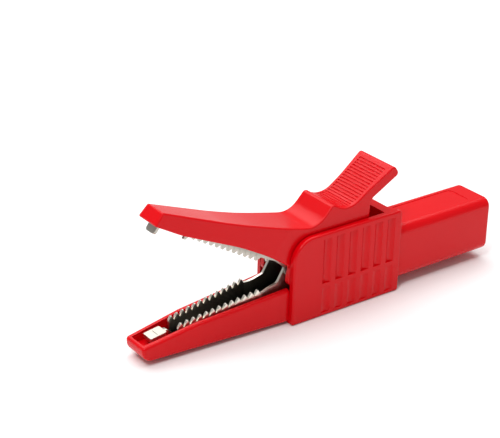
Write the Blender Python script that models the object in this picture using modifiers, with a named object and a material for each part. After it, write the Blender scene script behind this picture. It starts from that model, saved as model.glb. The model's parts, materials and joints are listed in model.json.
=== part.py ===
"""Insulated alligator test clip with a rear socket for a 4 mm plug.

Stations run along +X from the nose (0) to the socket mouth (LENGTH), +Y is across the
clip and +Z is up from the table.  The lever group is drawn closed, about the hinge axis,
and its parent empty then turns it open.
"""

import math

import bmesh
import bpy

MM = 0.001

# ---- overall sizes -------------------------------------------------------------------
LENGTH = 92.0 * MM
OPEN_ANGLE = math.radians(37.8)      # how far the jaws stand open in this model
GAP = 0.3 * MM                       # between neighbours that do not slide
SLIDE_GAP = 0.2 * MM                 # between the lever and the cheeks
RUNNING_GAP = 0.08 * MM              # pin in its holes
SIDE_ROUND = 0.6 * MM                # rounded long edges of the mouldings

# ---- hinge ---------------------------------------------------------------------------
PIVOT_X = 39.0 * MM
PIVOT_Z = 12.2 * MM
PIN_RADIUS = 1.25 * MM
PIN_POCKET = 0.7 * MM                # depth of the blind pockets in the cheeks

# ---- body moulding: cheeks -----------------------------------------------------------
CHEEK_FRONT = 35.0 * MM
CHEEK_REAR = 64.4 * MM
CHEEK_WIDTH = 13.0 * MM
CHEEK_HEIGHT = 19.4 * MM
CHEEK_WALL = 1.3 * MM
CHEEK_CORNER = 5.2 * MM              # big radius at the upper front corner
CHEEK_REAR_CORNER = 2.0 * MM
REAR_WALL_DROP = 1.2 * MM            # the pocket's rear wall stands lower than the cheeks
CHANNEL_FLOOR = 2.0 * MM
CHANNEL_REAR = 62.0 * MM
FLUTE_COUNT = 6
FLUTE_PITCH = 3.5 * MM
FLUTE_WIDTH = 1.7 * MM
FLUTE_DEPTH = 0.5 * MM
FLUTE_LAST = 3.1 * MM                # from the cheek's rear edge to the last flute
BAND_Z = 7.3 * MM                    # plain band between the upper and lower flutes
BAND_HEIGHT = 1.0 * MM

# ---- body moulding: lower nose -------------------------------------------------------
NOSE_HALF = 3.4 * MM
NOSE_ROOT_INSET = 1.3 * MM           # the nose's root inside the cheeks' outer faces
NOSE_WALL = 1.2 * MM
NOSE_FRONT_WALL = 0.9 * MM
NOSE_BOTTOM = 1.0 * MM
NOSE_ROOT_BOTTOM = 0.5 * MM           # the cheeks' foot stands this much lower
NOSE_TOP = 4.3 * MM
NOSE_MID = (13.0 * MM, 6.4 * MM)
NOSE_ROOT_DROP = 4.1 * MM            # the rim's root below the hinge
RECESS_FLOOR = 4.2 * MM
RECESS_STEP = 0.1 * MM               # the pocket and trough are this much narrower
TROUGH_FLOOR = 2.1 * MM
TROUGH_START = 8.2 * MM
PAD_POCKET_FLOOR = 2.4 * MM
NECK_SLOT_HALF = 1.0 * MM

# ---- body moulding: socket housing ---------------------------------------------------
HOUSING_WIDTH = 11.4 * MM
HOUSING_BOTTOM = 2.0 * MM
HOUSING_TOP = 14.8 * MM
HOUSING_ROUND = 2.0 * MM
PANEL_LENGTH = 18.0 * MM
PANEL_WIDTH = 6.6 * MM
PANEL_DEPTH = 0.25 * MM
PANEL_MARGIN = 4.5 * MM              # from the socket mouth to the panel
SOCKET_RADIUS = 4.1 * MM
SOCKET_DEPTH = 25.0 * MM

# ---- lever moulding ------------------------------------------------------------------
LEVER_NOSE_HALF = 3.2 * MM
LEVER_NOSE_X = -0.3 * MM
LEVER_ROUND = 0.4 * MM
LEVER_FULL_X = 30.0 * MM             # station where the lever reaches its full width
LEVER_WALL = 1.2 * MM
LEVER_ROOF = 1.5 * MM
LEVER_NOSE_TOP = 7.7 * MM
LEVER_NOSE_BOTTOM = 4.6 * MM
LEVER_MID = (22.5 * MM, 14.8 * MM)   # the back steepens a little here
LEVER_BROW = (36.3 * MM, 20.7 * MM)  # where the back starts to climb to the ridge
RIDGE = (36.9 * MM, 26.5 * MM)
PAD_END = (46.2 * MM, 40.4 * MM)
PAD_ANGLE = math.radians(72.0)
PAD_THICKNESS = 2.6 * MM
PAD_END_HALF = 5.7 * MM              # the pad flares towards its end
PAD_FLARE = 8.5 * MM
RIB_COUNT = 13
RIB_PITCH = 0.72 * MM
RIB_WIDTH = 0.36 * MM
RIB_DEPTH = 0.3 * MM
RIB_END_BAND = 1.9 * MM
RIB_SIDE_BAND = 1.1 * MM

# ---- stamped jaws --------------------------------------------------------------------
SHEET = 0.6 * MM
TOOTH_PITCH = 1.52 * MM
TOOTH_COUNT = 13
TOOTH_DEPTH = 1.05 * MM
TOOTH_CLEARANCE = 0.25 * MM
TOOTH_START = 9.2 * MM
BITE_LINE = (4.75 * MM, 0.145)       # height at station 0 and slope of the tooth line
ROW_START_Y = 1.75 * MM              # middle of the sheet at TOOTH_START
ROW_SLOPE = 0.0632
EAR_STATION = 31.0 * MM
EAR_GAP = 0.1 * MM                   # between a lower and an upper ear
EAR_SIDE_GAP = 0.25 * MM             # between an upper ear and the lever's wall
EAR_REAR = 43.0 * MM
STRIP_Z = 2.5 * MM                   # underside of the lower jaw's floor strip
TAIL_HALF = 2.5 * MM
TIP_HALF = 1.5 * MM
TIP_PAD = (3.1 * MM, 6.9 * MM)
TIP_TAB_X = 1.6 * MM
TIP_TAB_BOTTOM = 3.1 * MM
NECK_HALF = 0.6 * MM

# ---- spring --------------------------------------------------------------------------
WIRE_RADIUS = 0.4 * MM
COIL_RADIUS = 2.05 * MM
COIL_PITCH = 0.9 * MM
COIL_FULL_TURNS = 3
LOWER_LEG_ANGLE = math.radians(-30.0)
UPPER_LEG_ANGLE = math.radians(50.0)  # with the jaws closed
LEG_CLEARANCE = 0.425 * MM           # the lower leg's end above the jaw's floor strip
UPPER_LEG = 6.0 * MM

# ---- socket contact ------------------------------------------------------------------
CONTACT_BORE = 2.0 * MM
CONTACT_RADIUS = 2.4 * MM
CONTACT_FLANGE = 3.6 * MM
CONTACT_FLANGE_LENGTH = 1.2 * MM
CONTACT_RECESS = 3.0 * MM            # contact end behind the socket mouth
SLEEVE_RADIUS = 3.1 * MM
SLEEVE_BORE = 2.55 * MM
SLEEVE_LIP = 0.7 * MM
SLEEVE_RECESS = 2.0 * MM
SCREW_RADIUS = 1.4 * MM
SCREW_HEAD_RADIUS = 2.6 * MM
SCREW_HEAD_HEIGHT = 1.6 * MM
SCREW_GRIP = 2.8 * MM                # length of the shank inside the contact
SCREW_SLOT = 0.6 * MM

# ---- values that follow --------------------------------------------------------------
CHANNEL_HALF = CHEEK_WIDTH / 2 - CHEEK_WALL
LEVER_HALF = CHANNEL_HALF - SLIDE_GAP
SOCKET_Z = (HOUSING_BOTTOM + HOUSING_TOP) / 2
SOCKET_END = LENGTH - SOCKET_DEPTH
TAB_FACE = CHANNEL_REAR - GAP
NOSE_ROOT_HALF = CHEEK_WIDTH / 2 - NOSE_ROOT_INSET
NOSE_ROOT_TOP = PIVOT_Z - NOSE_ROOT_DROP
UPPER_EAR_Y = LEVER_HALF - LEVER_WALL - EAR_SIDE_GAP - SHEET / 2
LOWER_EAR_Y = UPPER_EAR_Y - SHEET - EAR_GAP
LEG_DROP = (PIVOT_Z - COIL_RADIUS * math.cos(LOWER_LEG_ANGLE) - WIRE_RADIUS
            - (STRIP_Z + SHEET) - LEG_CLEARANCE)
LOWER_LEG = -LEG_DROP / math.sin(LOWER_LEG_ANGLE)

parts = bpy.data.collections.new("alligator_clip")
tools = bpy.data.collections.new("cutters")


# ---- scene helpers -------------------------------------------------------------------
def clear_scene():
    """Empties the file and links the two collections."""
    for thing in list(bpy.data.objects):
        bpy.data.objects.remove(thing, do_unlink=True)
    for group in (parts, tools):
        bpy.context.scene.collection.children.link(group)


def empty(name, location, parent=None):
    """An empty that carries a group of pieces."""
    holder = bpy.data.objects.new(name, None)
    holder.location = location
    holder.parent = parent
    holder.empty_display_size = 5 * MM
    parts.objects.link(holder)
    return holder


def finish(name, color, roughness, metallic=0.0):
    """A Principled material."""
    material = bpy.data.materials.new(name)
    material.use_nodes = True
    shader = material.node_tree.nodes["Principled BSDF"]
    shader.inputs["Base Color"].default_value = (*color, 1.0)
    shader.inputs["Roughness"].default_value = roughness
    shader.inputs["Metallic"].default_value = metallic
    return material


def place(obj, parent, material=None):
    """Puts a piece in the parts collection, or a tool in the cutters when unpainted."""
    for group in list(obj.users_collection):
        group.objects.unlink(obj)
    obj.parent = parent
    if material is None:
        tools.objects.link(obj)
        obj.hide_render = True
        obj.display_type = "WIRE"
    else:
        parts.objects.link(obj)
        obj.data.materials.clear()
        obj.data.materials.append(material)
        obj.data.shade_smooth()
        obj.data.set_sharp_from_angle(angle=math.radians(35))
    return obj


def bevel(obj, width, segments=2, angle=40.0):
    """Rounded edges."""
    rounding = obj.modifiers.new("rounded_edges", "BEVEL")
    rounding.width = width
    rounding.segments = segments
    rounding.limit_method = "ANGLE"
    rounding.angle_limit = math.radians(angle)
    return obj


def boolean(obj, other, operation="DIFFERENCE"):
    """Joins, cuts or trims a piece with another."""
    cut = obj.modifiers.new(other.name, "BOOLEAN")
    cut.operation = operation
    cut.solver = "EXACT"
    cut.object = other
    return obj


# ---- shape helpers -------------------------------------------------------------------
def corner_arc(before, corner, after, radius, steps=4):
    """The points of an arc that rounds one corner of an outline."""
    def unit(point):
        dx, dy = point[0] - corner[0], point[1] - corner[1]
        size = math.hypot(dx, dy)
        return dx / size, dy / size, size

    ax, ay, a_size = unit(before)
    bx, by, b_size = unit(after)
    half = math.acos(max(-1.0, min(1.0, ax * bx + ay * by))) / 2
    reach = min(radius / math.tan(half), 0.49 * a_size, 0.49 * b_size)
    radius = reach * math.tan(half)
    mx, my = ax + bx, ay + by
    size = math.hypot(mx, my)
    distance = radius / math.sin(half)
    cx, cy = corner[0] + mx / size * distance, corner[1] + my / size * distance
    start = math.atan2(corner[1] + ay * reach - cy, corner[0] + ax * reach - cx)
    end = math.atan2(corner[1] + by * reach - cy, corner[0] + bx * reach - cx)
    turn = (end - start + math.pi) % (2 * math.pi) - math.pi
    angles = (start + turn * i / steps for i in range(steps + 1))
    return [(cx + radius * math.cos(a), cy + radius * math.sin(a)) for a in angles]


def outline(corners, steps=4):
    """A closed outline; a corner with a third value is rounded to that radius."""
    points = []
    for i, corner in enumerate(corners):
        if len(corner) == 2:
            points.append(corner)
            continue
        before, after = corners[i - 1], corners[(i + 1) % len(corners)]
        points += corner_arc(before, corner, after, corner[2], steps)
    return points


def extruded(name, points, half_depth, side=True):
    """A flat outline given thickness: across Y from a side view, or along Z from above."""
    flat = bpy.data.curves.new(name, "CURVE")
    flat.dimensions = "2D"
    flat.fill_mode = "BOTH"
    flat.extrude = half_depth
    spline = flat.splines.new("POLY")
    spline.points.add(len(points) - 1)
    for vertex, (x, y) in zip(spline.points, points):
        vertex.co = (x, y, 0.0, 1.0)
    spline.use_cyclic_u = True
    curve = bpy.data.objects.new(name, flat)
    if side:
        curve.rotation_euler.x = math.pi / 2
    bpy.context.scene.collection.objects.link(curve)
    return meshed(curve)


def meshed(curve):
    """A curve made one closed mesh object in the same place."""
    bpy.context.view_layer.update()
    evaluated = curve.evaluated_get(bpy.context.evaluated_depsgraph_get())
    mesh = bpy.data.meshes.new_from_object(evaluated)
    shape = bmesh.new()
    shape.from_mesh(mesh)
    bmesh.ops.remove_doubles(shape, verts=shape.verts, dist=0.001 * MM)
    bmesh.ops.dissolve_limit(
        shape, angle_limit=math.radians(0.5), verts=shape.verts, edges=shape.edges
    )
    shape.to_mesh(mesh)
    shape.free()
    name = curve.name
    matrix = curve.matrix_world.copy()
    bpy.data.objects.remove(curve, do_unlink=True)
    solid = bpy.data.objects.new(name, mesh)
    solid.matrix_world = matrix
    bpy.context.scene.collection.objects.link(solid)
    return solid


def block(name, low, high):
    """A box between two corners, with its size in its mesh."""
    bpy.ops.mesh.primitive_cube_add(size=1)
    box = bpy.context.object
    box.name = name
    box.location = [(a + b) / 2 for a, b in zip(low, high)]
    box.scale = [b - a for a, b in zip(low, high)]
    bpy.ops.object.transform_apply(location=False, rotation=False, scale=True)
    return box


def rod(name, radius, start, end, axis, sides=32):
    """A cylinder along one axis; start and end are opposite points on that axis."""
    depth = sum(b - a for a, b in zip(start, end))
    bpy.ops.mesh.primitive_cylinder_add(vertices=sides, radius=radius, depth=depth)
    shape = bpy.context.object
    shape.name = name
    shape.location = [(a + b) / 2 for a, b in zip(start, end)]
    shape.rotation_euler = {"X": (0, math.pi / 2, 0), "Y": (math.pi / 2, 0, 0)}[axis]
    return shape


def turned(name, profile, closed, steps=32):
    """A turned piece on the socket's axis; profile holds (radius, station) from the mouth inwards."""
    mesh = bpy.data.meshes.new(name)
    count = len(profile)
    edges = [(i, i + 1) for i in range(count - 1)]
    if closed:
        edges.append((count - 1, 0))
    mesh.from_pydata([(radius, 0.0, station) for radius, station in profile], edges, [])
    piece = bpy.data.objects.new(name, mesh)
    piece.rotation_euler.y = math.pi / 2
    piece.location.z = SOCKET_Z
    lathe = piece.modifiers.new("lathe", "SCREW")
    lathe.steps = lathe.render_steps = steps
    lathe.use_merge_vertices = True
    lathe.merge_threshold = 0.001 * MM
    lathe.use_smooth_shade = True
    bpy.context.scene.collection.objects.link(piece)
    return piece


# ---- lines that several pieces share ------------------------------------------------
def nose_half(x):
    """Half the width of the body's nose at a station."""
    return NOSE_HALF + (NOSE_ROOT_HALF - NOSE_HALF) * x / CHEEK_FRONT


def nose_rim(x):
    """Height of the body's nose rim at a station."""
    if x < NOSE_MID[0]:
        return NOSE_TOP + (NOSE_MID[1] - NOSE_TOP) * x / NOSE_MID[0]
    share = (x - NOSE_MID[0]) / (CHEEK_FRONT - NOSE_MID[0])
    return NOSE_MID[1] + (NOSE_ROOT_TOP - NOSE_MID[1]) * share


def lever_half(x):
    """Half the width of the lever at a station."""
    return min(LEVER_HALF, LEVER_NOSE_HALF + (LEVER_HALF - LEVER_NOSE_HALF) * x / LEVER_FULL_X)


def lever_back(x):
    """Height of the lever's back at a station."""
    if x < LEVER_MID[0]:
        return LEVER_NOSE_TOP + (LEVER_MID[1] - LEVER_NOSE_TOP) * x / LEVER_MID[0]
    share = (x - LEVER_MID[0]) / (LEVER_BROW[0] - LEVER_MID[0])
    return LEVER_MID[1] + (LEVER_BROW[1] - LEVER_MID[1]) * share


def under_back(start, end, drop):
    """Points that follow the lever's back at a distance below it, from start to end."""
    return [(x, lever_back(x) - drop) for x in (start, LEVER_MID[0], end)]


def bite(x):
    """Height of the line on which the teeth meet."""
    return BITE_LINE[0] + BITE_LINE[1] * x


def row_y(x):
    """Middle of a toothed wall at a station."""
    return ROW_START_Y + ROW_SLOPE * (x - TOOTH_START)


def teeth(offset, down_first):
    """Zigzag points along the bite line, raised or lowered by offset."""
    points = []
    for i in range(2 * TOOTH_COUNT + 1):
        x = TOOTH_START + i * TOOTH_PITCH / 2
        high = (i % 2 == 1) != down_first
        points.append((x, bite(x) + offset + (TOOTH_DEPTH / 2 if high else -TOOTH_DEPTH / 2)))
    return points


TOOTH_END = TOOTH_START + TOOTH_COUNT * TOOTH_PITCH


# ---- body moulding -------------------------------------------------------------------
def nose_block(frame):
    """The lower nose before it is hollowed: its side view trimmed by its plan view."""
    inside = CHEEK_FRONT + 3 * MM
    nose = extruded("nose_block", outline([
        (0.0, NOSE_TOP, 0.4 * MM), (0.35 * MM, NOSE_BOTTOM, 0.9 * MM),
        (CHEEK_FRONT, NOSE_ROOT_BOTTOM), (inside, NOSE_ROOT_BOTTOM), (inside, NOSE_ROOT_TOP),
        (CHEEK_FRONT, NOSE_ROOT_TOP), NOSE_MID,
    ]), NOSE_ROOT_HALF + 2 * MM)
    end_half = nose_half(inside)
    plan = extruded("nose_plan", [
        (-1 * MM, -nose_half(-1 * MM)), (inside + 1 * MM, -end_half),
        (inside + 1 * MM, end_half), (-1 * MM, nose_half(-1 * MM)),
    ], 2 * NOSE_ROOT_TOP, side=False)
    place(plan, frame)
    boolean(nose, plan, "INTERSECT")
    bevel(nose, 0.5 * MM)
    return place(nose, frame)


def housing_block(frame):
    """The socket housing: a prism with well-rounded long edges."""
    half = HOUSING_WIDTH / 2
    middle = (HOUSING_TOP + HOUSING_BOTTOM) / 2
    rise = (HOUSING_TOP - HOUSING_BOTTOM) / 2
    corners = outline([
        (-half, -rise, HOUSING_ROUND), (half, -rise, HOUSING_ROUND),
        (half, rise, HOUSING_ROUND), (-half, rise, HOUSING_ROUND),
    ], steps=5)
    start = CHANNEL_REAR + 0.7 * MM
    length = LENGTH - start
    housing = extruded("housing_block", corners, length / 2, side=False)
    housing.rotation_euler = (math.pi / 2, 0, math.pi / 2)
    housing.location = (start + length / 2, 0, middle)
    bevel(housing, 0.8 * MM, angle=60.0)
    return place(housing, frame)


def flute_cutters(frame):
    """Upper and lower vertical flutes on both cheeks, as one cutter for each row."""
    cutters = []
    rows = (("upper", BAND_Z + BAND_HEIGHT / 2, CHEEK_HEIGHT - 1.6 * MM, FLUTE_DEPTH),
            ("lower", 1.0 * MM, BAND_Z - BAND_HEIGHT / 2, FLUTE_DEPTH / 2))
    last = CHEEK_REAR - FLUTE_LAST
    for name, low, high, depth in rows:
        for side in (-1, 1):
            face = side * (CHEEK_WIDTH / 2 - depth)
            outside = side * (CHEEK_WIDTH / 2 + 1 * MM)
            cutter = block(f"{name}_flutes", (last - FLUTE_WIDTH / 2, min(face, outside), low),
                           (last + FLUTE_WIDTH / 2, max(face, outside), high))
            repeat = cutter.modifiers.new("row", "ARRAY")
            repeat.count = FLUTE_COUNT
            repeat.use_relative_offset = False
            repeat.use_constant_offset = True
            repeat.constant_offset_displace = (-FLUTE_PITCH, 0, 0)
            cutters.append(place(cutter, frame))
    return cutters


def nose_cutters(frame):
    """The recess, pad pocket, neck slot and trough of the lower nose."""
    def tapered(name, start, end, floor, wall):
        low, high = nose_half(start) - wall, nose_half(end) - wall
        depth = NOSE_ROOT_TOP + 4 * MM
        cutter = extruded(name, [(start, -low), (end, -high), (end, high), (start, low)],
                          depth / 2, side=False)
        cutter.location.z = floor + depth / 2
        return place(cutter, frame)

    pocket_end = TIP_PAD[1] + GAP
    top = NOSE_ROOT_TOP + 4 * MM
    slot = block("neck_slot", (pocket_end - 1 * MM, -NECK_SLOT_HALF, PAD_POCKET_FLOOR),
                 (TROUGH_START + 1 * MM, NECK_SLOT_HALF, top))
    return [
        tapered("nose_recess", NOSE_FRONT_WALL, CHEEK_FRONT + 0.5 * MM, RECESS_FLOOR, NOSE_WALL),
        tapered("pad_pocket", NOSE_FRONT_WALL + RECESS_STEP, pocket_end, PAD_POCKET_FLOOR,
                NOSE_WALL + RECESS_STEP),
        tapered("jaw_trough", TROUGH_START, CHEEK_FRONT + 0.7 * MM, TROUGH_FLOOR,
                NOSE_WALL + RECESS_STEP),
        place(slot, frame),
    ]


def body_housing(frame, material):
    """The one-piece body: lower nose, cheeks and socket housing."""
    half = CHEEK_WIDTH / 2
    body = extruded("body_housing", outline([
        (CHEEK_FRONT, 0.0, 0.5 * MM), (CHEEK_REAR, 0.0, 0.5 * MM),
        (CHEEK_REAR, CHEEK_HEIGHT, CHEEK_REAR_CORNER), (CHEEK_FRONT, CHEEK_HEIGHT, CHEEK_CORNER),
    ], steps=6), half)
    bevel(body, SIDE_ROUND)
    boolean(body, nose_block(frame), "UNION")
    boolean(body, housing_block(frame), "UNION")

    front, above = CHEEK_FRONT - 0.01 * MM, CHEEK_HEIGHT + 5 * MM
    wall_top = CHEEK_HEIGHT - REAR_WALL_DROP
    channel = extruded("lever_channel", [
        (front, CHANNEL_FLOOR), (CHANNEL_REAR, CHANNEL_FLOOR), (CHANNEL_REAR, wall_top),
        (CHEEK_REAR + 1 * MM, wall_top), (CHEEK_REAR + 1 * MM, above), (front, above),
    ], CHANNEL_HALF)
    pocket_half = CHANNEL_HALF + PIN_POCKET
    pockets = rod("pin_pockets", PIN_RADIUS + RUNNING_GAP, (PIVOT_X, -pocket_half, PIVOT_Z),
                  (PIVOT_X, pocket_half, PIVOT_Z), "Y")
    bore = rod("socket_bore", SOCKET_RADIUS, (SOCKET_END, 0, SOCKET_Z),
               (LENGTH + 2 * MM, 0, SOCKET_Z), "X", sides=48)
    hole = rod("screw_hole", SCREW_RADIUS + GAP, (CHANNEL_REAR - 1 * MM, 0, SOCKET_Z),
               (SOCKET_END + 1 * MM, 0, SOCKET_Z), "X")
    panel_end = LENGTH - PANEL_MARGIN
    panel = block("top_panel", (panel_end - PANEL_LENGTH, -PANEL_WIDTH / 2, HOUSING_TOP - PANEL_DEPTH),
                  (panel_end, PANEL_WIDTH / 2, HOUSING_TOP + 2 * MM))
    for cutter in (channel, pockets, bore, hole, panel):
        boolean(body, place(cutter, frame))
    for cutter in nose_cutters(frame) + flute_cutters(frame):
        boolean(body, cutter)
    return place(body, frame, material)


# ---- lever moulding ------------------------------------------------------------------
def pad_direction():
    """Unit vector up the thumb pad, in the side view."""
    return math.cos(PAD_ANGLE), math.sin(PAD_ANGLE)


def lever_outline():
    """Side view of the lever with the jaws closed."""
    ux, uz = pad_direction()
    end_x, end_z = PAD_END
    under = (end_x + uz * PAD_THICKNESS, end_z - ux * PAD_THICKNESS)
    saddle_z = RIDGE[1] + 0.1 * MM
    saddle_x = end_x - (end_z - saddle_z) * ux / uz
    web_z = RIDGE[1] + 5.0 * MM
    web_x = under[0] - (under[1] - web_z) * ux / uz
    ear_low = PIVOT_Z - 4.8 * MM
    ear_front = PIVOT_Z - 1.5 * MM
    return outline([
        (LEVER_NOSE_X + 0.2 * MM, LEVER_NOSE_TOP, 0.5 * MM),
        (LEVER_NOSE_X, LEVER_NOSE_BOTTOM, 0.3 * MM),
        (7.2 * MM, nose_rim(7.2 * MM) + 0.2 * MM), (16.0 * MM, nose_rim(16.0 * MM) + 0.9 * MM),
        (25.5 * MM, nose_rim(25.5 * MM) + 2.2 * MM, 6 * MM),
        (PIVOT_X - 3.5 * MM, ear_front, 1.0 * MM),
        (PIVOT_X - 1.8 * MM, ear_low, 1.5 * MM),
        (PIVOT_X + 3.5 * MM, ear_low, 3.0 * MM),
        (PIVOT_X + 11.8 * MM, PIVOT_Z + 3.3 * MM, 2.0 * MM),
        (PIVOT_X + 12.2 * MM, PIVOT_Z + 12.0 * MM, 4.0 * MM),
        (web_x, web_z, 1.5 * MM),
        (*under, 0.5 * MM), (end_x, end_z, 0.4 * MM),
        (saddle_x, saddle_z, 3.2 * MM),
        (*RIDGE, 0.8 * MM), (*LEVER_BROW, 6.0 * MM), (*LEVER_MID, 8.0 * MM),
    ])


def lever_plan(name, wall, start, end, height):
    """Plan view of the lever, or of its hollow, as a tall prism."""
    left = [(start, -(lever_half(start) - wall))]
    if start < LEVER_FULL_X < end:
        left.append((LEVER_FULL_X, -(LEVER_HALF - wall)))
    left.append((end, -(LEVER_HALF - wall)))
    return extruded(name, left + [(x, -y) for x, y in reversed(left)], height, side=False)


def pad_flare(hinge):
    """The trapezoid that lets the pad grow wider towards its end, square to the pad."""
    root = LEVER_HALF - 0.1 * MM
    beyond = PAD_END_HALF + (PAD_END_HALF - root) * MM / PAD_FLARE
    flare = extruded("pad_flare", [(-PAD_FLARE, -root), (1 * MM, -beyond),
                                   (1 * MM, beyond), (-PAD_FLARE, root)],
                     PAD_THICKNESS, side=False)
    flare.rotation_euler.y = -PAD_ANGLE
    flare.location = (PAD_END[0] - PIVOT_X, 0, PAD_END[1] - PIVOT_Z)
    return place(flare, hinge)


def lever_moulding(hinge, material):
    """The lever: upper nose, ridge and ribbed thumb pad in one hollow moulding."""
    at_pivot = (-PIVOT_X, 0, -PIVOT_Z)
    lever = extruded("lever", lever_outline(), PAD_END_HALF + 1 * MM)
    lever.location = at_pivot
    plan = lever_plan("lever_plan", 0.0, -2 * MM, PAD_END[0] + 10 * MM, 3 * PAD_END[1])
    plan.location = at_pivot
    boolean(plan, pad_flare(hinge), "UNION")
    boolean(lever, place(plan, hinge), "INTERSECT")
    bevel(lever, LEVER_ROUND, angle=45.0)

    front, brow_x = 1.6 * MM, LEVER_BROW[0] - 3.7 * MM
    crown = LEVER_BROW[1] - 1.8 * MM
    hollow = extruded("lever_hollow", [
        (front, -2 * MM), *under_back(front, brow_x, LEVER_ROOF), (PIVOT_X - 4 * MM, crown),
        (PIVOT_X + 4.5 * MM, crown), (PIVOT_X + 8.5 * MM, PIVOT_Z + 1.3 * MM),
        (PIVOT_X + 8.5 * MM, -2 * MM),
    ], LEVER_HALF + 1 * MM)
    hollow_plan = lever_plan("hollow_plan", LEVER_WALL, front - 1 * MM, PIVOT_X + 10 * MM,
                             3 * PAD_END[1])
    for shape in (hollow, hollow_plan):
        shape.location = at_pivot
        place(shape, hinge)
    boolean(hollow, hollow_plan, "INTERSECT")
    boolean(lever, hollow)

    reach = LEVER_HALF + 2 * MM
    pin_hole = rod("lever_pin_hole", PIN_RADIUS + RUNNING_GAP, (0, -reach, 0), (0, reach, 0), "Y")
    boolean(lever, place(pin_hole, hinge))

    ux, uz = pad_direction()
    rib_half = LEVER_HALF - RIB_SIDE_BAND
    ribs = block("rib_grooves", (-RIB_WIDTH / 2, -rib_half, -RIB_DEPTH),
                 (RIB_WIDTH / 2, rib_half, 1 * MM))
    ribs.rotation_euler.y = -PAD_ANGLE
    ribs.location = (PAD_END[0] - ux * RIB_END_BAND - PIVOT_X, 0,
                     PAD_END[1] - uz * RIB_END_BAND - PIVOT_Z)
    repeat = ribs.modifiers.new("row", "ARRAY")
    repeat.count = RIB_COUNT
    repeat.use_relative_offset = False
    repeat.use_constant_offset = True
    repeat.constant_offset_displace = (-RIB_PITCH, 0, 0)
    boolean(lever, place(ribs, hinge))
    return place(lever, hinge, material)


# ---- stamped jaws --------------------------------------------------------------------
def sheet_wall(name, ear_y, side_points, holder, offset):
    """One upright sheet wall: its plan strip trimmed by its side outline."""
    path = [(TIP_PAD[1], row_y(TIP_PAD[1])), (TOOTH_END, row_y(TOOTH_END)),
            (EAR_STATION, ear_y), (EAR_REAR + 4 * MM, ear_y)]
    strip = [(x, y - SHEET / 2) for x, y in path]
    strip += [(x, y + SHEET / 2) for x, y in reversed(path)]
    wall = extruded(name, strip, 3 * PIVOT_Z, side=False)
    wall.location = offset
    trim = extruded(f"{name}_side", side_points, 10 * MM)
    trim.location = offset
    boolean(wall, place(trim, holder), "INTERSECT")
    return wall


def mirrored(obj, holder):
    """The opposite wall, as a piece that is joined on."""
    twin = obj.copy()
    twin.data = obj.data.copy()
    twin.name = f"{obj.name}_left"
    twin.data.transform(((1, 0, 0, 0), (0, -1, 0, 0), (0, 0, 1, 0), (0, 0, 0, 1)))
    twin.data.flip_normals()
    return place(twin, holder)


def strip_plan(start, end, ear_y):
    """Plan outline of the web between two walls."""
    path = [(x, row_y(x)) for x in (start, TOOTH_END)] + [(EAR_STATION, ear_y), (end, ear_y)]
    return [(x, -y) for x, y in path] + [(x, y) for x, y in reversed(path)]


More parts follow.
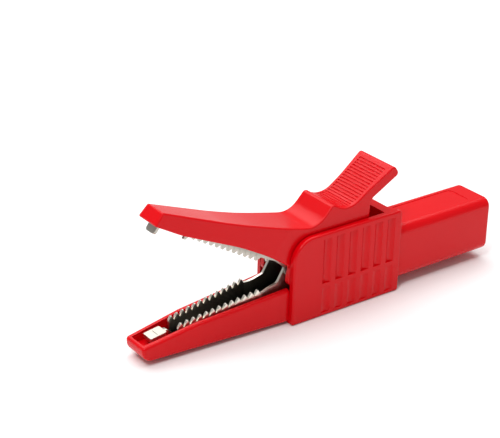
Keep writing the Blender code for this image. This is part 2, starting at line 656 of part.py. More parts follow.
def lower_jaw(frame, material):
    """The lower jaw: floor strip, toothed walls, ears, tip pad, neck and bent-up tail."""
    row = teeth(-TOOTH_CLEARANCE / 2, down_first=False)
    side = [(TOOTH_START + 0.2 * MM, STRIP_Z), (EAR_REAR, STRIP_Z)]
    side += outline([
        (EAR_REAR, STRIP_Z), (EAR_REAR, PIVOT_Z + 1.3 * MM, 1.5 * MM),
        (PIVOT_X + 1.5 * MM, PIVOT_Z + 3.2 * MM, 2.0 * MM),
        (PIVOT_X - 2.0 * MM, PIVOT_Z + 3.2 * MM, 2.0 * MM),
        (PIVOT_X - 4.0 * MM, PIVOT_Z - 0.5 * MM, 1.5 * MM),
        (PIVOT_X - 5.5 * MM, PIVOT_Z - 3.0 * MM, 1.0 * MM),
        (TOOTH_END + 1.0 * MM, bite(TOOTH_END) - 0.6 * MM),
    ])[1:]
    side += [point for point in reversed(row) if point[0] > TOOTH_START + 0.2 * MM]
    side.append((TOOTH_START + 0.2 * MM, bite(TOOTH_START) - 0.4 * MM))
    jaw = sheet_wall("lower_jaw", LOWER_EAR_Y, side, frame, (0, 0, 0))
    twin = mirrored(jaw, frame)
    boolean(jaw, twin, "UNION")

    strip = extruded("jaw_strip", strip_plan(TOOTH_START + 0.2 * MM, EAR_REAR, LOWER_EAR_Y),
                     SHEET / 2, side=False)
    strip.location.z = STRIP_Z + SHEET / 2
    tail = extruded("jaw_tail", outline([
        (EAR_REAR - 3 * MM, STRIP_Z), (TAB_FACE, STRIP_Z, SHEET),
        (TAB_FACE, SOCKET_Z + 3 * MM), (TAB_FACE - SHEET, SOCKET_Z + 3 * MM),
        (TAB_FACE - SHEET, STRIP_Z + SHEET), (EAR_REAR - 3 * MM, STRIP_Z + SHEET),
    ]), TAIL_HALF)
    low, high = TIP_PAD
    pad = extruded("tip_pad", outline([
        (low, nose_rim(low) - 0.9 * MM), (high, nose_rim(high) - 0.9 * MM),
        (high, nose_rim(high)), (low, nose_rim(low), 0.4 * MM),
    ]), TIP_HALF)
    neck_top = nose_rim(high) - 0.2 * MM
    neck = extruded("tip_neck", [
        (high - 0.5 * MM, neck_top - SHEET), (high + 0.4 * MM, neck_top - SHEET),
        (TOOTH_START + 0.6 * MM, STRIP_Z), (TOOTH_START + 2.0 * MM, STRIP_Z),
        (TOOTH_START + 2.0 * MM, STRIP_Z + SHEET), (TOOTH_START + 0.9 * MM, STRIP_Z + SHEET),
        (high + 0.7 * MM, neck_top), (high - 0.5 * MM, neck_top),
    ], NECK_HALF)
    for shape in (strip, tail, pad, neck):
        boolean(jaw, place(shape, frame), "UNION")

    reach = 5 * MM
    hole = rod("jaw_pin_hole", PIN_RADIUS + RUNNING_GAP, (PIVOT_X, -reach, PIVOT_Z),
               (PIVOT_X, reach, PIVOT_Z), "Y")
    tail_hole = rod("tail_hole", SCREW_RADIUS + GAP, (TAB_FACE - 2 * MM, 0, SOCKET_Z),
                    (TAB_FACE + 1 * MM, 0, SOCKET_Z), "X")
    for cutter in (hole, tail_hole):
        boolean(jaw, place(cutter, frame))
    return place(jaw, frame, material)


def upper_jaw(hinge, material):
    """The upper jaw: roof strip, toothed walls, ears and the bent-down tip tab."""
    at_pivot = (-PIVOT_X, 0, -PIVOT_Z)
    start = TOOTH_START - TOOTH_PITCH / 2
    under_roof = LEVER_ROOF + GAP
    brow_x = LEVER_BROW[0] - 4.2 * MM
    row = teeth(TOOTH_CLEARANCE / 2, down_first=False)
    long_tooth = [(start, bite(start) + TOOTH_CLEARANCE / 2 + 1.0 * MM),
                  (start + 0.1 * MM, bite(start) - 1.0 * MM),
                  (start + 0.5 * MM, bite(start) - 0.9 * MM)]
    side = long_tooth + row[1:]
    side += outline([
        row[-1], (TOOTH_END + 3 * MM, bite(TOOTH_END) + 1.3 * MM, 1.5 * MM),
        (PIVOT_X - 3.4 * MM, PIVOT_Z - 2.2 * MM, 0.8 * MM),
        (PIVOT_X - 2.4 * MM, PIVOT_Z - 3.4 * MM, 1.2 * MM),
        (PIVOT_X + 2.6 * MM, PIVOT_Z - 3.4 * MM, 2.0 * MM),
        (PIVOT_X + 4.0 * MM, PIVOT_Z + 0.5 * MM, 2.0 * MM),
        (PIVOT_X + 2.0 * MM, PIVOT_Z + 4.6 * MM, 1.5 * MM),
        *reversed(under_back(start, brow_x, under_roof)),
    ])[1:]
    jaw = sheet_wall("upper_jaw", UPPER_EAR_Y, side, hinge, at_pivot)
    twin = mirrored(jaw, hinge)
    boolean(jaw, twin, "UNION")

    tab_rear = TIP_TAB_X + SHEET
    roof_start = TIP_TAB_X + 0.2 * MM
    roof = extruded("jaw_roof", under_back(roof_start, brow_x, under_roof + SHEET)
                    + list(reversed(under_back(roof_start, brow_x, under_roof))), 10 * MM)
    plan = [(x, row_y(x)) for x in (start, TOOTH_END)] + [(EAR_STATION, UPPER_EAR_Y),
                                                          (PIVOT_X, UPPER_EAR_Y)]
    plan = [(TIP_TAB_X, TIP_HALF), (start - 1.2 * MM, TIP_HALF)] + plan
    roof_plan = extruded("roof_plan", [(x, -y) for x, y in plan]
                         + [(x, y) for x, y in reversed(plan)], 3 * PIVOT_Z, side=False)
    tab = extruded("tip_tab", outline([
        (TIP_TAB_X, TIP_TAB_BOTTOM, 0.25 * MM), (tab_rear, TIP_TAB_BOTTOM, 0.25 * MM),
        (tab_rear, lever_back(TIP_TAB_X) - under_roof - 0.1 * MM),
        (TIP_TAB_X, lever_back(TIP_TAB_X) - under_roof - 0.1 * MM),
    ]), TIP_HALF)
    for shape in (roof, roof_plan, tab):
        shape.location = at_pivot
        place(shape, hinge)
    boolean(roof, roof_plan, "INTERSECT")
    boolean(jaw, roof, "UNION")
    boolean(jaw, tab, "UNION")
    reach = 5 * MM
    hole = rod("ear_pin_hole", PIN_RADIUS + RUNNING_GAP, (0, -reach, 0), (0, reach, 0), "Y")
    boolean(jaw, place(hole, hinge))
    return place(jaw, hinge, material)


# ---- hinge pin and spring ------------------------------------------------------------
def pivot_pin(frame, material):
    """The hinge pin, held at its ends by the cheeks' blind pockets."""
    half = CHANNEL_HALF + PIN_POCKET - 0.15 * MM
    pin = rod("pivot_pin", PIN_RADIUS, (PIVOT_X, -half, PIVOT_Z), (PIVOT_X, half, PIVOT_Z), "Y")
    bevel(pin, 0.2 * MM, angle=60.0)
    return place(pin, frame, material)


def torsion_spring(frame, material):
    """The closing spring: a coil on the pin with a leg on each half, drawn at the open angle."""
    start = LOWER_LEG_ANGLE - math.pi / 2
    finish_angle = UPPER_LEG_ANGLE - OPEN_ANGLE + math.pi / 2 - 2 * math.pi * (COIL_FULL_TURNS + 1)
    sweep = start - finish_angle
    width = COIL_PITCH * sweep / (2 * math.pi)
    steps = round(sweep / math.radians(22.5))

    def on_coil(share):
        angle = start - sweep * share
        return (PIVOT_X + COIL_RADIUS * math.cos(angle), width * (share - 0.5),
                PIVOT_Z + COIL_RADIUS * math.sin(angle))

    def beyond(point, angle, length):
        return (point[0] + length * math.cos(angle), point[1], point[2] + length * math.sin(angle))

    points = [beyond(on_coil(0), LOWER_LEG_ANGLE, LOWER_LEG)]
    points += [on_coil(i / steps) for i in range(steps + 1)]
    points.append(beyond(on_coil(1), UPPER_LEG_ANGLE - OPEN_ANGLE, UPPER_LEG))
    wire = bpy.data.curves.new("torsion_spring", "CURVE")
    wire.dimensions = "3D"
    wire.bevel_depth = WIRE_RADIUS
    wire.bevel_resolution = 2
    wire.use_fill_caps = True
    spline = wire.splines.new("POLY")
    spline.points.add(len(points) - 1)
    for vertex, point in zip(spline.points, points):
        vertex.co = (*point, 1.0)
    spring = bpy.data.objects.new("torsion_spring", wire)
    bpy.context.scene.collection.objects.link(spring)
    return place(meshed(spring), frame, material)


# ---- socket parts --------------------------------------------------------------------
def socket_contact(frame, material):
    """The turned socket contact: flange, tube for the plug and threaded end."""
    back = SOCKET_END + GAP
    shoulder = back + CONTACT_FLANGE_LENGTH
    mouth = LENGTH - CONTACT_RECESS
    thread_end = back + SCREW_GRIP + GAP
    bore_end = thread_end + 0.8 * MM
    thread = SCREW_RADIUS + RUNNING_GAP
    contact = turned("socket_contact", [
        (0.0, bore_end), (CONTACT_BORE, bore_end), (CONTACT_BORE, mouth),
        (CONTACT_RADIUS, mouth), (CONTACT_RADIUS, shoulder), (CONTACT_FLANGE, shoulder),
        (CONTACT_FLANGE, back), (thread, back), (thread, thread_end), (0.0, thread_end),
    ], closed=False)
    return place(contact, frame, material)


def contact_sleeve(frame, material):
    """The insulating sleeve around the contact, with a touch-safe lip over its end."""
    base = SOCKET_END + CONTACT_FLANGE_LENGTH + 2 * GAP
    collar = base + 1.5 * MM
    mouth = LENGTH - SLEEVE_RECESS
    sleeve = turned("contact_sleeve", [
        (SLEEVE_RADIUS, mouth), (SLEEVE_RADIUS, collar), (CONTACT_FLANGE, collar),
        (CONTACT_FLANGE, base), (SLEEVE_BORE, base), (SLEEVE_BORE, mouth - SLEEVE_LIP),
        (CONTACT_BORE + 0.1 * MM, mouth - SLEEVE_LIP), (CONTACT_BORE + 0.1 * MM, mouth),
    ], closed=True)
    return place(sleeve, frame, material)


def contact_screw(frame, material):
    """The screw that holds the jaw's tail to the contact through the body wall."""
    under_head = TAB_FACE - SHEET - GAP
    tip = SOCKET_END + GAP + SCREW_GRIP
    top = under_head - SCREW_HEAD_HEIGHT
    screw = turned("contact_screw", [
        (0.0, tip), (SCREW_RADIUS - 0.3 * MM, tip), (SCREW_RADIUS, tip - 0.3 * MM),
        (SCREW_RADIUS, under_head), (SCREW_HEAD_RADIUS, under_head),
        (SCREW_HEAD_RADIUS, top + 0.5 * MM), (SCREW_HEAD_RADIUS - 0.6 * MM, top), (0.0, top),
    ], closed=False)
    slot = block("screw_slot", (top - 1 * MM, -SCREW_HEAD_RADIUS * 2, SOCKET_Z - SCREW_SLOT / 2),
                 (top + 0.7 * MM, SCREW_HEAD_RADIUS * 2, SOCKET_Z + SCREW_SLOT / 2))
    boolean(screw, place(slot, frame))
    return place(screw, frame, material)


def main():
    """Builds the clip with the middle of its length over the origin."""
    clear_scene()
    red = finish("red_moulding", (0.62, 0.012, 0.02), 0.28)
    red_lever = finish("red_lever", (0.62, 0.012, 0.02), 0.28)
    red_sleeve = finish("red_sleeve", (0.55, 0.012, 0.02), 0.35)
    nickel = finish("nickel_sheet", (0.74, 0.72, 0.66), 0.25, 1.0)
    nickel_upper = finish("nickel_upper_sheet", (0.74, 0.72, 0.66), 0.25, 1.0)
    brass = finish("nickel_brass", (0.76, 0.72, 0.6), 0.22, 1.0)
    steel = finish("pin_steel", (0.6, 0.6, 0.6), 0.3, 1.0)
    spring_steel = finish("spring_steel", (0.42, 0.42, 0.43), 0.35, 1.0)
    screw_steel = finish("screw_steel", (0.62, 0.62, 0.6), 0.3, 1.0)

    frame = empty("clip_frame", (-LENGTH / 2, 0, 0))
    hinge = empty("lever_hinge", (PIVOT_X, 0, PIVOT_Z), frame)
    hinge.rotation_euler.y = OPEN_ANGLE

    body_housing(frame, red)
    lever_moulding(hinge, red_lever)
    lower_jaw(frame, nickel)
    upper_jaw(hinge, nickel_upper)
    pivot_pin(frame, steel)
    torsion_spring(frame, spring_steel)
    socket_contact(frame, brass)
    contact_sleeve(frame, red_sleeve)
    contact_screw(frame, screw_steel)


main()
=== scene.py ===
"""Insulated alligator test clip: fine meshes, procedural finishes and a plain studio.

Shapes are drawn in the clip's own frame, in millimetres: x runs from the nose to the
socket mouth, y across the clip and z up from the table.  The lever group is drawn with
the jaws closed.  Each finished mesh is then put into the shared frame, in metres.
"""

import json
import logging
import math
from collections.abc import Callable, Iterable, Sequence
from dataclasses import dataclass
from enum import Enum

import bmesh
import bpy
from mathutils import Matrix, Vector


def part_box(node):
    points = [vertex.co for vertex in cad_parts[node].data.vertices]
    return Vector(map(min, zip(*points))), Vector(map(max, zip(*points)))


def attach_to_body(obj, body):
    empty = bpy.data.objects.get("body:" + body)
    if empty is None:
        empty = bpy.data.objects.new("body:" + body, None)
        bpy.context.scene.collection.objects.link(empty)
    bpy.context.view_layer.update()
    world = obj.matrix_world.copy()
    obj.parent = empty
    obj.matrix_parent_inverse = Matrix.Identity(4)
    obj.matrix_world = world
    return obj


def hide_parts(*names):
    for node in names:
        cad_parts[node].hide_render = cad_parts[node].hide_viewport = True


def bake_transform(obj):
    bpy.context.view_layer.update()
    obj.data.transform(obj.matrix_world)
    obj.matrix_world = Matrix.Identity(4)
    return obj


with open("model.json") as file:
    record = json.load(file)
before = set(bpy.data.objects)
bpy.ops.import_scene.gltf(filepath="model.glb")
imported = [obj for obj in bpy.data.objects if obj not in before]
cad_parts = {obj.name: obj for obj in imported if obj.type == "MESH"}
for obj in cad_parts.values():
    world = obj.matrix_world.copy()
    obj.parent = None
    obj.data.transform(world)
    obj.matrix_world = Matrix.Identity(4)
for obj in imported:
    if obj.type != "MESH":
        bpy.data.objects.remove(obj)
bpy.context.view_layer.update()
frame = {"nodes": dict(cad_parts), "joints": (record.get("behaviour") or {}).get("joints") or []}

LOG = logging.getLogger("test_clip")
MM = 0.001
MERGE = 0.0005
SMOOTH_ANGLE = math.radians(32.0)
# Point attribute that holds how much painted shade each point of a jaw gets.
CHANNEL = "channel_painted_shade"
PIN_HOLE = 1.33
SCREW_HOLE = 1.7
STAMPED_ROUND = 0.05
# Near-black colour of the painted shade deep in the jaws' channel.
PAINTED_SHADE_COLOUR = (0.012, 0.01, 0.009)
ACROSS = 8.0
TALL = 40.0

Point = tuple[float, float]
Corner = tuple[float, ...]
Piece = bpy.types.Object
Paint = bpy.types.Material
Tree = bpy.types.NodeTree
Node = bpy.types.Node
Socket = bpy.types.NodeSocket
Link = tuple[Node, str | int, Node, str | int]


class View(Enum):
    """The side from which an outline is drawn."""

    SIDE = "xz"
    TOP = "xy"
    END = "yz"


class Combine(Enum):
    """How one solid meets another."""

    CUT = "DIFFERENCE"
    JOIN = "UNION"
    KEEP = "INTERSECT"


class Body(Enum):
    """The two bodies that the hinge joins."""

    BASE = "body"
    LEVER = "lever"


@dataclass(frozen=True)
class ClipFrame:
    """Where the clip's own frame stands in the shared one.

    Attributes:
        nose: Place of the nose's tip along X, in metres.
        hinge: A point on the hinge axis, in metres.
        opening: Angle from closed to the stored pose.
    """

    nose: float
    hinge: Vector
    opening: float

    def base(self) -> Matrix:
        """Takes the clip's frame to the shared frame."""
        return Matrix.Translation((self.nose, 0.0, 0.0)) @ Matrix.Scale(MM, 4)

    def lever(self) -> Matrix:
        """Takes the closed lever to its place in the stored pose."""
        turn = Matrix.Rotation(self.opening, 4, "Y")
        return Matrix.Translation(self.hinge) @ turn @ Matrix.Translation(-self.hinge) @ self.base()

    def pivot(self) -> Point:
        """The hinge axis in the clip's own side view, in millimetres."""
        return (self.hinge.x - self.nose) / MM, self.hinge.z / MM


def clip_frame() -> ClipFrame:
    """Reads the clip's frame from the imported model.

    Returns:
        The frame, from the housing's box and the hinge's record.
    """
    joint = frame["joints"][0]
    return ClipFrame(
        nose=-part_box("body_housing")[1].x,
        hinge=Vector(joint["pos_m"]),
        opening=math.radians(-joint["range_deg"][0]),
    )


CLIP = clip_frame()
PIVOT_X, PIVOT_Z = CLIP.pivot()


# ---- outlines ------------------------------------------------------------------------
def corner_arc(before: Corner, corner: Corner, after: Corner, steps: int) -> list[Point]:
    """Rounds one corner of an outline.

    Args:
        before: The corner before it.
        corner: The corner itself, with its radius as a third value.
        after: The corner after it.
        steps: Number of pieces in the arc.

    Returns:
        The arc's points.
    """
    here = Vector(corner[:2])
    a, b = Vector(before[:2]) - here, Vector(after[:2]) - here
    half = a.angle(b) / 2
    reach = min(corner[2] / math.tan(half), 0.8 * a.length, 0.8 * b.length)
    radius = reach * math.tan(half)
    a.normalize()
    b.normalize()
    middle = here + (a + b).normalized() * (radius / math.sin(half))
    first, last = here + a * reach - middle, here + b * reach - middle
    start = math.atan2(first.y, first.x)
    turn = (math.atan2(last.y, last.x) - start + math.pi) % (2 * math.pi) - math.pi
    angles = (start + turn * i / steps for i in range(steps + 1))
    return [(middle.x + radius * math.cos(t), middle.y + radius * math.sin(t)) for t in angles]


def outline(corners: Sequence[Corner], steps: int = 8) -> list[Point]:
    """Makes a closed outline; a corner with a third value is rounded to that radius.

    Args:
        corners: The corners in order.
        steps: Number of pieces in each arc.

    Returns:
        The outline's points.
    """
    points: list[Point] = []
    for i, corner in enumerate(corners):
        if len(corner) == 2:
            points.append((corner[0], corner[1]))
        else:
            following = corners[(i + 1) % len(corners)]
            points += corner_arc(corners[i - 1], corner, following, steps)
    return points


def rectangle(low: Point, high: Point, radius: float, steps: int = 8) -> list[Point]:
    """Makes a rectangle with rounded corners.

    Args:
        low: Its lower left corner.
        high: Its upper right corner.
        radius: Radius of its corners.
        steps: Number of pieces in each arc.

    Returns:
        The outline.
    """
    (x0, y0), (x1, y1) = low, high
    return outline([(x, y, radius) for x, y in ((x0, y0), (x1, y0), (x1, y1), (x0, y1))], steps)


def mirrored(line: Sequence[Point]) -> list[Point]:
    """Closes a line of half widths into a plan that is the same on both sides."""
    return [(x, -y) for x, y in line] + [(x, y) for x, y in reversed(line)]


def interpolate(line: Sequence[Point], x: float) -> float:
    """Reads a line of points at x, held level past both ends.

    Args:
        line: Points in order of x.
        x: Where to read it.

    Returns:
        The height of the line there.
    """
    if x <= line[0][0]:
        return line[0][1]
    for (x0, z0), (x1, z1) in zip(line, line[1:]):
        if x <= x1:
            return z0 + (z1 - z0) * (x - x0) / (x1 - x0)
    return line[-1][1]


def flowing(knots: Sequence[Point], step: float = 0.8) -> list[Point]:
    """Draws a flowing line through knots.

    Args:
        knots: Points that the line passes through.
        step: Spacing of its points.

    Returns:
        The line's points, ends included.
    """
    ends = [(2 * knots[0][0] - knots[1][0], 2 * knots[0][1] - knots[1][1]), *knots,
            (2 * knots[-1][0] - knots[-2][0], 2 * knots[-1][1] - knots[-2][1])]
    line: list[Point] = []
    for a, b, c, d in zip(ends, ends[1:], ends[2:], ends[3:]):
        pieces = max(1, round(math.dist(b, c) / step))
        for i in range(pieces):
            t = i / pieces
            line.append(tuple(
                b[k] + 0.5 * t * (c[k] - a[k] + t * (2 * a[k] - 5 * b[k] + 4 * c[k] - d[k]
                                                    + t * (3 * (b[k] - c[k]) + d[k] - a[k])))
                for k in (0, 1)))
    return [*line, knots[-1]]


# ---- solids --------------------------------------------------------------------------
def new_object(name: str, data: bpy.types.ID) -> Piece:
    """Puts a mesh, light or camera into the scene.

    Args:
        name: The object's name.
        data: What it holds.

    Returns:
        The object, at the origin.
    """
    made = bpy.data.objects.new(name, data)
    bpy.context.scene.collection.objects.link(made)
    return made


def new_piece(name: str, shape: bmesh.types.BMesh) -> Piece:
    """Puts a finished bmesh into the scene as an object.

    Args:
        name: The object's name.
        shape: Its mesh, which is freed.

    Returns:
        The object, at the origin.
    """
    mesh = bpy.data.meshes.new(name)
    shape.to_mesh(mesh)
    shape.free()
    return new_object(name, mesh)


def prism(name: str, points: Iterable[Point], low: float, high: float, view: View) -> Piece:
    """Gives a flat outline its thickness.

    Args:
        name: The object's name.
        points: The outline.
        low: Where the solid starts, across the view.
        high: Where it ends.
        view: The view that the outline is drawn in.

    Returns:
        A closed solid.
    """
    lift: dict[View, Callable[[float, float, float], tuple[float, float, float]]] = {
        View.SIDE: lambda u, v, w: (u, w, v),
        View.TOP: lambda u, v, w: (u, v, w),
        View.END: lambda u, v, w: (w, u, v),
    }
    shape = bmesh.new()
    rim = [shape.verts.new(lift[view](u, v, low)) for u, v in points]
    face = shape.faces.new(rim)
    grown = bmesh.ops.extrude_face_region(shape, geom=[face])["geom"]
    moved = [item for item in grown if isinstance(item, bmesh.types.BMVert)]
    bmesh.ops.translate(shape, verts=moved, vec=Vector(lift[view](0, 0, high - low)))
    bmesh.ops.remove_doubles(shape, verts=shape.verts, dist=MERGE)
    bmesh.ops.recalc_face_normals(shape, faces=shape.faces)
    return new_piece(name, shape)


def box(name: str, low: Sequence[float], high: Sequence[float]) -> Piece:
    """A box between two corners."""
    corners = [(low[0], low[2]), (high[0], low[2]), (high[0], high[2]), (low[0], high[2])]
    return prism(name, corners, low[1], high[1], View.SIDE)


def rod(name: str, radius: float, start: Sequence[float], end: Sequence[float],
        sides: int = 48) -> Piece:
    """Makes a round bar.

    Args:
        name: The object's name.
        radius: Its radius.
        start: Middle of one end.
        end: Middle of the other end.
        sides: Number of sides.

    Returns:
        A closed solid.
    """
    a, b = Vector(start), Vector(end)
    shape = bmesh.new()
    turn = (b - a).to_track_quat("Z", "Y").to_matrix().to_4x4()
    bmesh.ops.create_cone(shape, cap_ends=True, segments=sides, radius1=radius, radius2=radius,
                          depth=(b - a).length, matrix=Matrix.Translation((a + b) / 2) @ turn)
    return new_piece(name, shape)


def pin_bore(name: str, reach: float) -> Piece:
    """The tool for a hole around the hinge pin, with its reach to each side."""
    return rod(name, PIN_HOLE, (PIVOT_X, -reach, PIVOT_Z), (PIVOT_X, reach, PIVOT_Z))


def settle(piece: Piece) -> Piece:
    """Turns a piece's modifiers into its mesh."""
    bpy.context.view_layer.update()
    evaluated = piece.evaluated_get(bpy.context.evaluated_depsgraph_get())
    mesh = bpy.data.meshes.new_from_object(evaluated)
    piece.modifiers.clear()
    old, piece.data = piece.data, mesh
    bpy.data.meshes.remove(old)
    return piece


def combine(piece: Piece, other: Piece, how: Combine) -> Piece:
    """Cuts, joins or trims a piece with another, which is used up.

    Args:
        piece: The solid that stays.
        other: The solid that is used on it.
        how: What is done.

    Returns:
        The piece.
    """
    modifier = piece.modifiers.new(how.name, "BOOLEAN")
    modifier.operation = how.value
    modifier.solver = "EXACT"
    modifier.object = other
    settle(piece)
    bpy.data.objects.remove(other, do_unlink=True)
    return piece


def round_edges(piece: Piece, width: float, segments: int,
                choose: Callable[[Vector, Vector], bool] = lambda a, b: True,
                sharpest: float = 40.0, merge_flats: bool = False) -> Piece:
    """Rounds the outward edges that a test chooses.

    Args:
        piece: The solid.
        width: How far the rounding reaches from the edge.
        segments: Number of pieces in the rounding.
        choose: Test on an edge's two ends.
        sharpest: Edges that turn by fewer degrees than this stay.
        merge_flats: Merges flat faces first, for a piece whose flats have no holes.

    Returns:
        The piece.
    """
    shape = bmesh.new()
    shape.from_mesh(piece.data)
    bmesh.ops.remove_doubles(shape, verts=shape.verts, dist=MERGE)
    if merge_flats:
        bmesh.ops.dissolve_limit(shape, angle_limit=math.radians(0.4), verts=shape.verts,
                                 edges=shape.edges)
    limit = math.radians(sharpest)
    edges = [edge for edge in shape.edges
             if len(edge.link_faces) == 2 and edge.calc_face_angle_signed() > limit
             and choose(edge.verts[0].co, edge.verts[1].co)]
    bmesh.ops.bevel(shape, geom=edges, offset=width, offset_type="OFFSET", segments=segments,
                    profile=0.5, affect="EDGES", clamp_overlap=True, loop_slide=True)
    bmesh.ops.remove_doubles(shape, verts=shape.verts, dist=MERGE)
    shape.to_mesh(piece.data)
    shape.free()
    return piece


def mark_painted_shade(piece: Piece, depth: Callable[[Vector], float]) -> None:
    """Notes on each point how much painted shade it gets in the jaw's channel, for the finish to read.

    Args:
        piece: The solid.
        depth: Gives the strength of the painted shade at a point, 0 for none and 1 for full.
    """
    layer = piece.data.attributes.new(CHANNEL, "FLOAT", "POINT")
    for vertex, item in zip(piece.data.vertices, layer.data):
        item.value = max(0.0, min(1.0, depth(vertex.co)))


def dress(piece: Piece, matrix: Matrix, material: Paint) -> Piece:
    """Puts a finished solid in its place and gives it its finish and its shading.

    Args:
        piece: The solid, drawn in the clip's frame.
        matrix: Takes it to the shared frame.
        material: Its finish.

    Returns:
        The piece, at the origin, with its place in its mesh.
    """
    shape = bmesh.new()
    shape.from_mesh(piece.data)
    bmesh.ops.remove_doubles(shape, verts=shape.verts, dist=MERGE)
    for face in shape.faces:
        face.material_index = 0
    shape.to_mesh(piece.data)
    shape.free()
    piece.data.transform(matrix)
    piece.data.materials.clear()
    piece.data.materials.append(material)
    piece.data.shade_smooth()
    piece.data.set_sharp_from_angle(angle=SMOOTH_ANGLE)
    shading = piece.modifiers.new("even_shading", "WEIGHTED_NORMAL")
    shading.keep_sharp = True
    return settle(piece)


# ---- nodes ---------------------------------------------------------------------------
def connect(tree: Tree, *links: Link) -> None:
    """Links outputs to inputs.

    Args:
        tree: The tree of the nodes.
        links: A node and its output, then a node and its input, for each link.
    """
    for source, output, target, entry in links:
        tree.links.new(source.outputs[output], target.inputs[entry])


@dataclass(frozen=True)
class RepeatTree:
    """A Geometry Nodes tree with named inputs.

    Attributes:
        tree: The node tree.
    """

    tree: Tree

    def apply(self, piece: Piece, **values: object) -> Piece:
        """Runs the tree on a piece and keeps the plain mesh.

        Args:
            piece: The piece whose mesh goes in.
            values: The tree's inputs by name, with _ for a space.

        Returns:
            The piece.
        """
        modifier = piece.modifiers.new(self.tree.name, "NODES")
        modifier.node_group = self.tree
        sockets = {item.name: item.identifier for item in self.tree.interface.items_tree
                   if item.item_type == "SOCKET" and item.in_out == "INPUT"}
        for name, value in values.items():
            modifier[sockets[name.replace("_", " ").title()]] = value
        return settle(piece)


class RepeatTrees:
    """Builds the trees that make rows of equal shapes and wires along a path."""

    def __init__(self) -> None:
        """Builds the three trees once."""
        self.on_line = RepeatTree(self._row_on_line())
        self.on_path = RepeatTree(self._row_on_path())
        self.wire = RepeatTree(self._wire())

    @staticmethod
    def _start(name: str, inputs: dict[str, str]) -> tuple[Tree, Node]:
        """Makes an empty tree with its sockets.

        Args:
            name: The tree's name.
            inputs: Socket types by input name, after the geometry.

        Returns:
            The tree and its input node.
        """
        tree = bpy.data.node_groups.new(name, "GeometryNodeTree")
        tree.interface.new_socket("Shape", in_out="INPUT", socket_type="NodeSocketGeometry")
        for label, kind in inputs.items():
            tree.interface.new_socket(label, in_out="INPUT", socket_type=kind)
        tree.interface.new_socket("Result", in_out="OUTPUT", socket_type="NodeSocketGeometry")
        return tree, tree.nodes.new("NodeGroupInput")

    @staticmethod
    def _end(tree: Tree, enter: Node, result: Socket) -> None:
        """Ends a tree in Realize Instances and Set Material.

        Args:
            tree: The tree.
            enter: Its input node.
            result: The geometry to give out.
        """
        real = tree.nodes.new("GeometryNodeRealizeInstances")
        paint = tree.nodes.new("GeometryNodeSetMaterial")
        leave = tree.nodes.new("NodeGroupOutput")
        tree.links.new(result, real.inputs["Geometry"])
        connect(tree, (real, "Geometry", paint, "Geometry"), (enter, "Material", paint, "Material"),
                (paint, "Geometry", leave, "Result"))

    def _row_on_line(self) -> Tree:
        """A shape repeated by a fixed step."""
        tree, enter = self._start("row_on_line", {
            "Count": "NodeSocketInt", "Step": "NodeSocketVector", "Material": "NodeSocketMaterial"})
        line = tree.nodes.new("GeometryNodeMeshLine")
        line.mode = "OFFSET"
        place = tree.nodes.new("GeometryNodeInstanceOnPoints")
        connect(tree, (enter, "Count", line, "Count"), (enter, "Step", line, "Offset"),
                (line, "Mesh", place, "Points"), (enter, "Shape", place, "Instance"))
        self._end(tree, enter, place.outputs["Instances"])
        return tree

    def _row_on_path(self) -> Tree:
        """Crosswise bars at an even spacing along a path."""
        tree, enter = self._start("bars_on_path", {
            "Pitch": "NodeSocketFloat", "Radius": "NodeSocketFloat", "Width": "NodeSocketFloat",
            "Material": "NodeSocketMaterial"})
        curve = tree.nodes.new("GeometryNodeMeshToCurve")
        even = tree.nodes.new("GeometryNodeResampleCurve")
        even.mode = "LENGTH"
        bar = tree.nodes.new("GeometryNodeMeshCylinder")
        bar.inputs["Vertices"].default_value = 20
        place = tree.nodes.new("GeometryNodeInstanceOnPoints")
        place.inputs["Rotation"].default_value = (math.pi / 2, 0.0, 0.0)
        connect(tree, (enter, "Shape", curve, "Mesh"), (curve, "Curve", even, "Curve"),
                (enter, "Pitch", even, "Length"), (enter, "Radius", bar, "Radius"),
                (enter, "Width", bar, "Depth"), (even, "Curve", place, "Points"),
                (bar, "Mesh", place, "Instance"))
        self._end(tree, enter, place.outputs["Instances"])
        return tree

    def _wire(self) -> Tree:
        """A round wire along a path."""
        tree, enter = self._start("wire_on_path", {
            "Radius": "NodeSocketFloat", "Material": "NodeSocketMaterial"})
        curve = tree.nodes.new("GeometryNodeMeshToCurve")
        ring = tree.nodes.new("GeometryNodeCurvePrimitiveCircle")
        ring.inputs["Resolution"].default_value = 14
        sweep = tree.nodes.new("GeometryNodeCurveToMesh")
        sweep.inputs["Fill Caps"].default_value = True
        connect(tree, (enter, "Shape", curve, "Mesh"), (enter, "Radius", ring, "Radius"),
                (curve, "Curve", sweep, "Curve"), (ring, "Curve", sweep, "Profile Curve"))
        self._end(tree, enter, sweep.outputs["Mesh"])
        return tree


def path_piece(name: str, points: Sequence[Sequence[float]]) -> Piece:
    """A chain of edges, as the input of a tree.

    Args:
        name: The object's name.
        points: The path's points.

    Returns:
        The object.
    """
    mesh = bpy.data.meshes.new(name)
    mesh.from_pydata([tuple(p) for p in points], [(i, i + 1) for i in range(len(points) - 1)], [])
    return new_object(name, mesh)


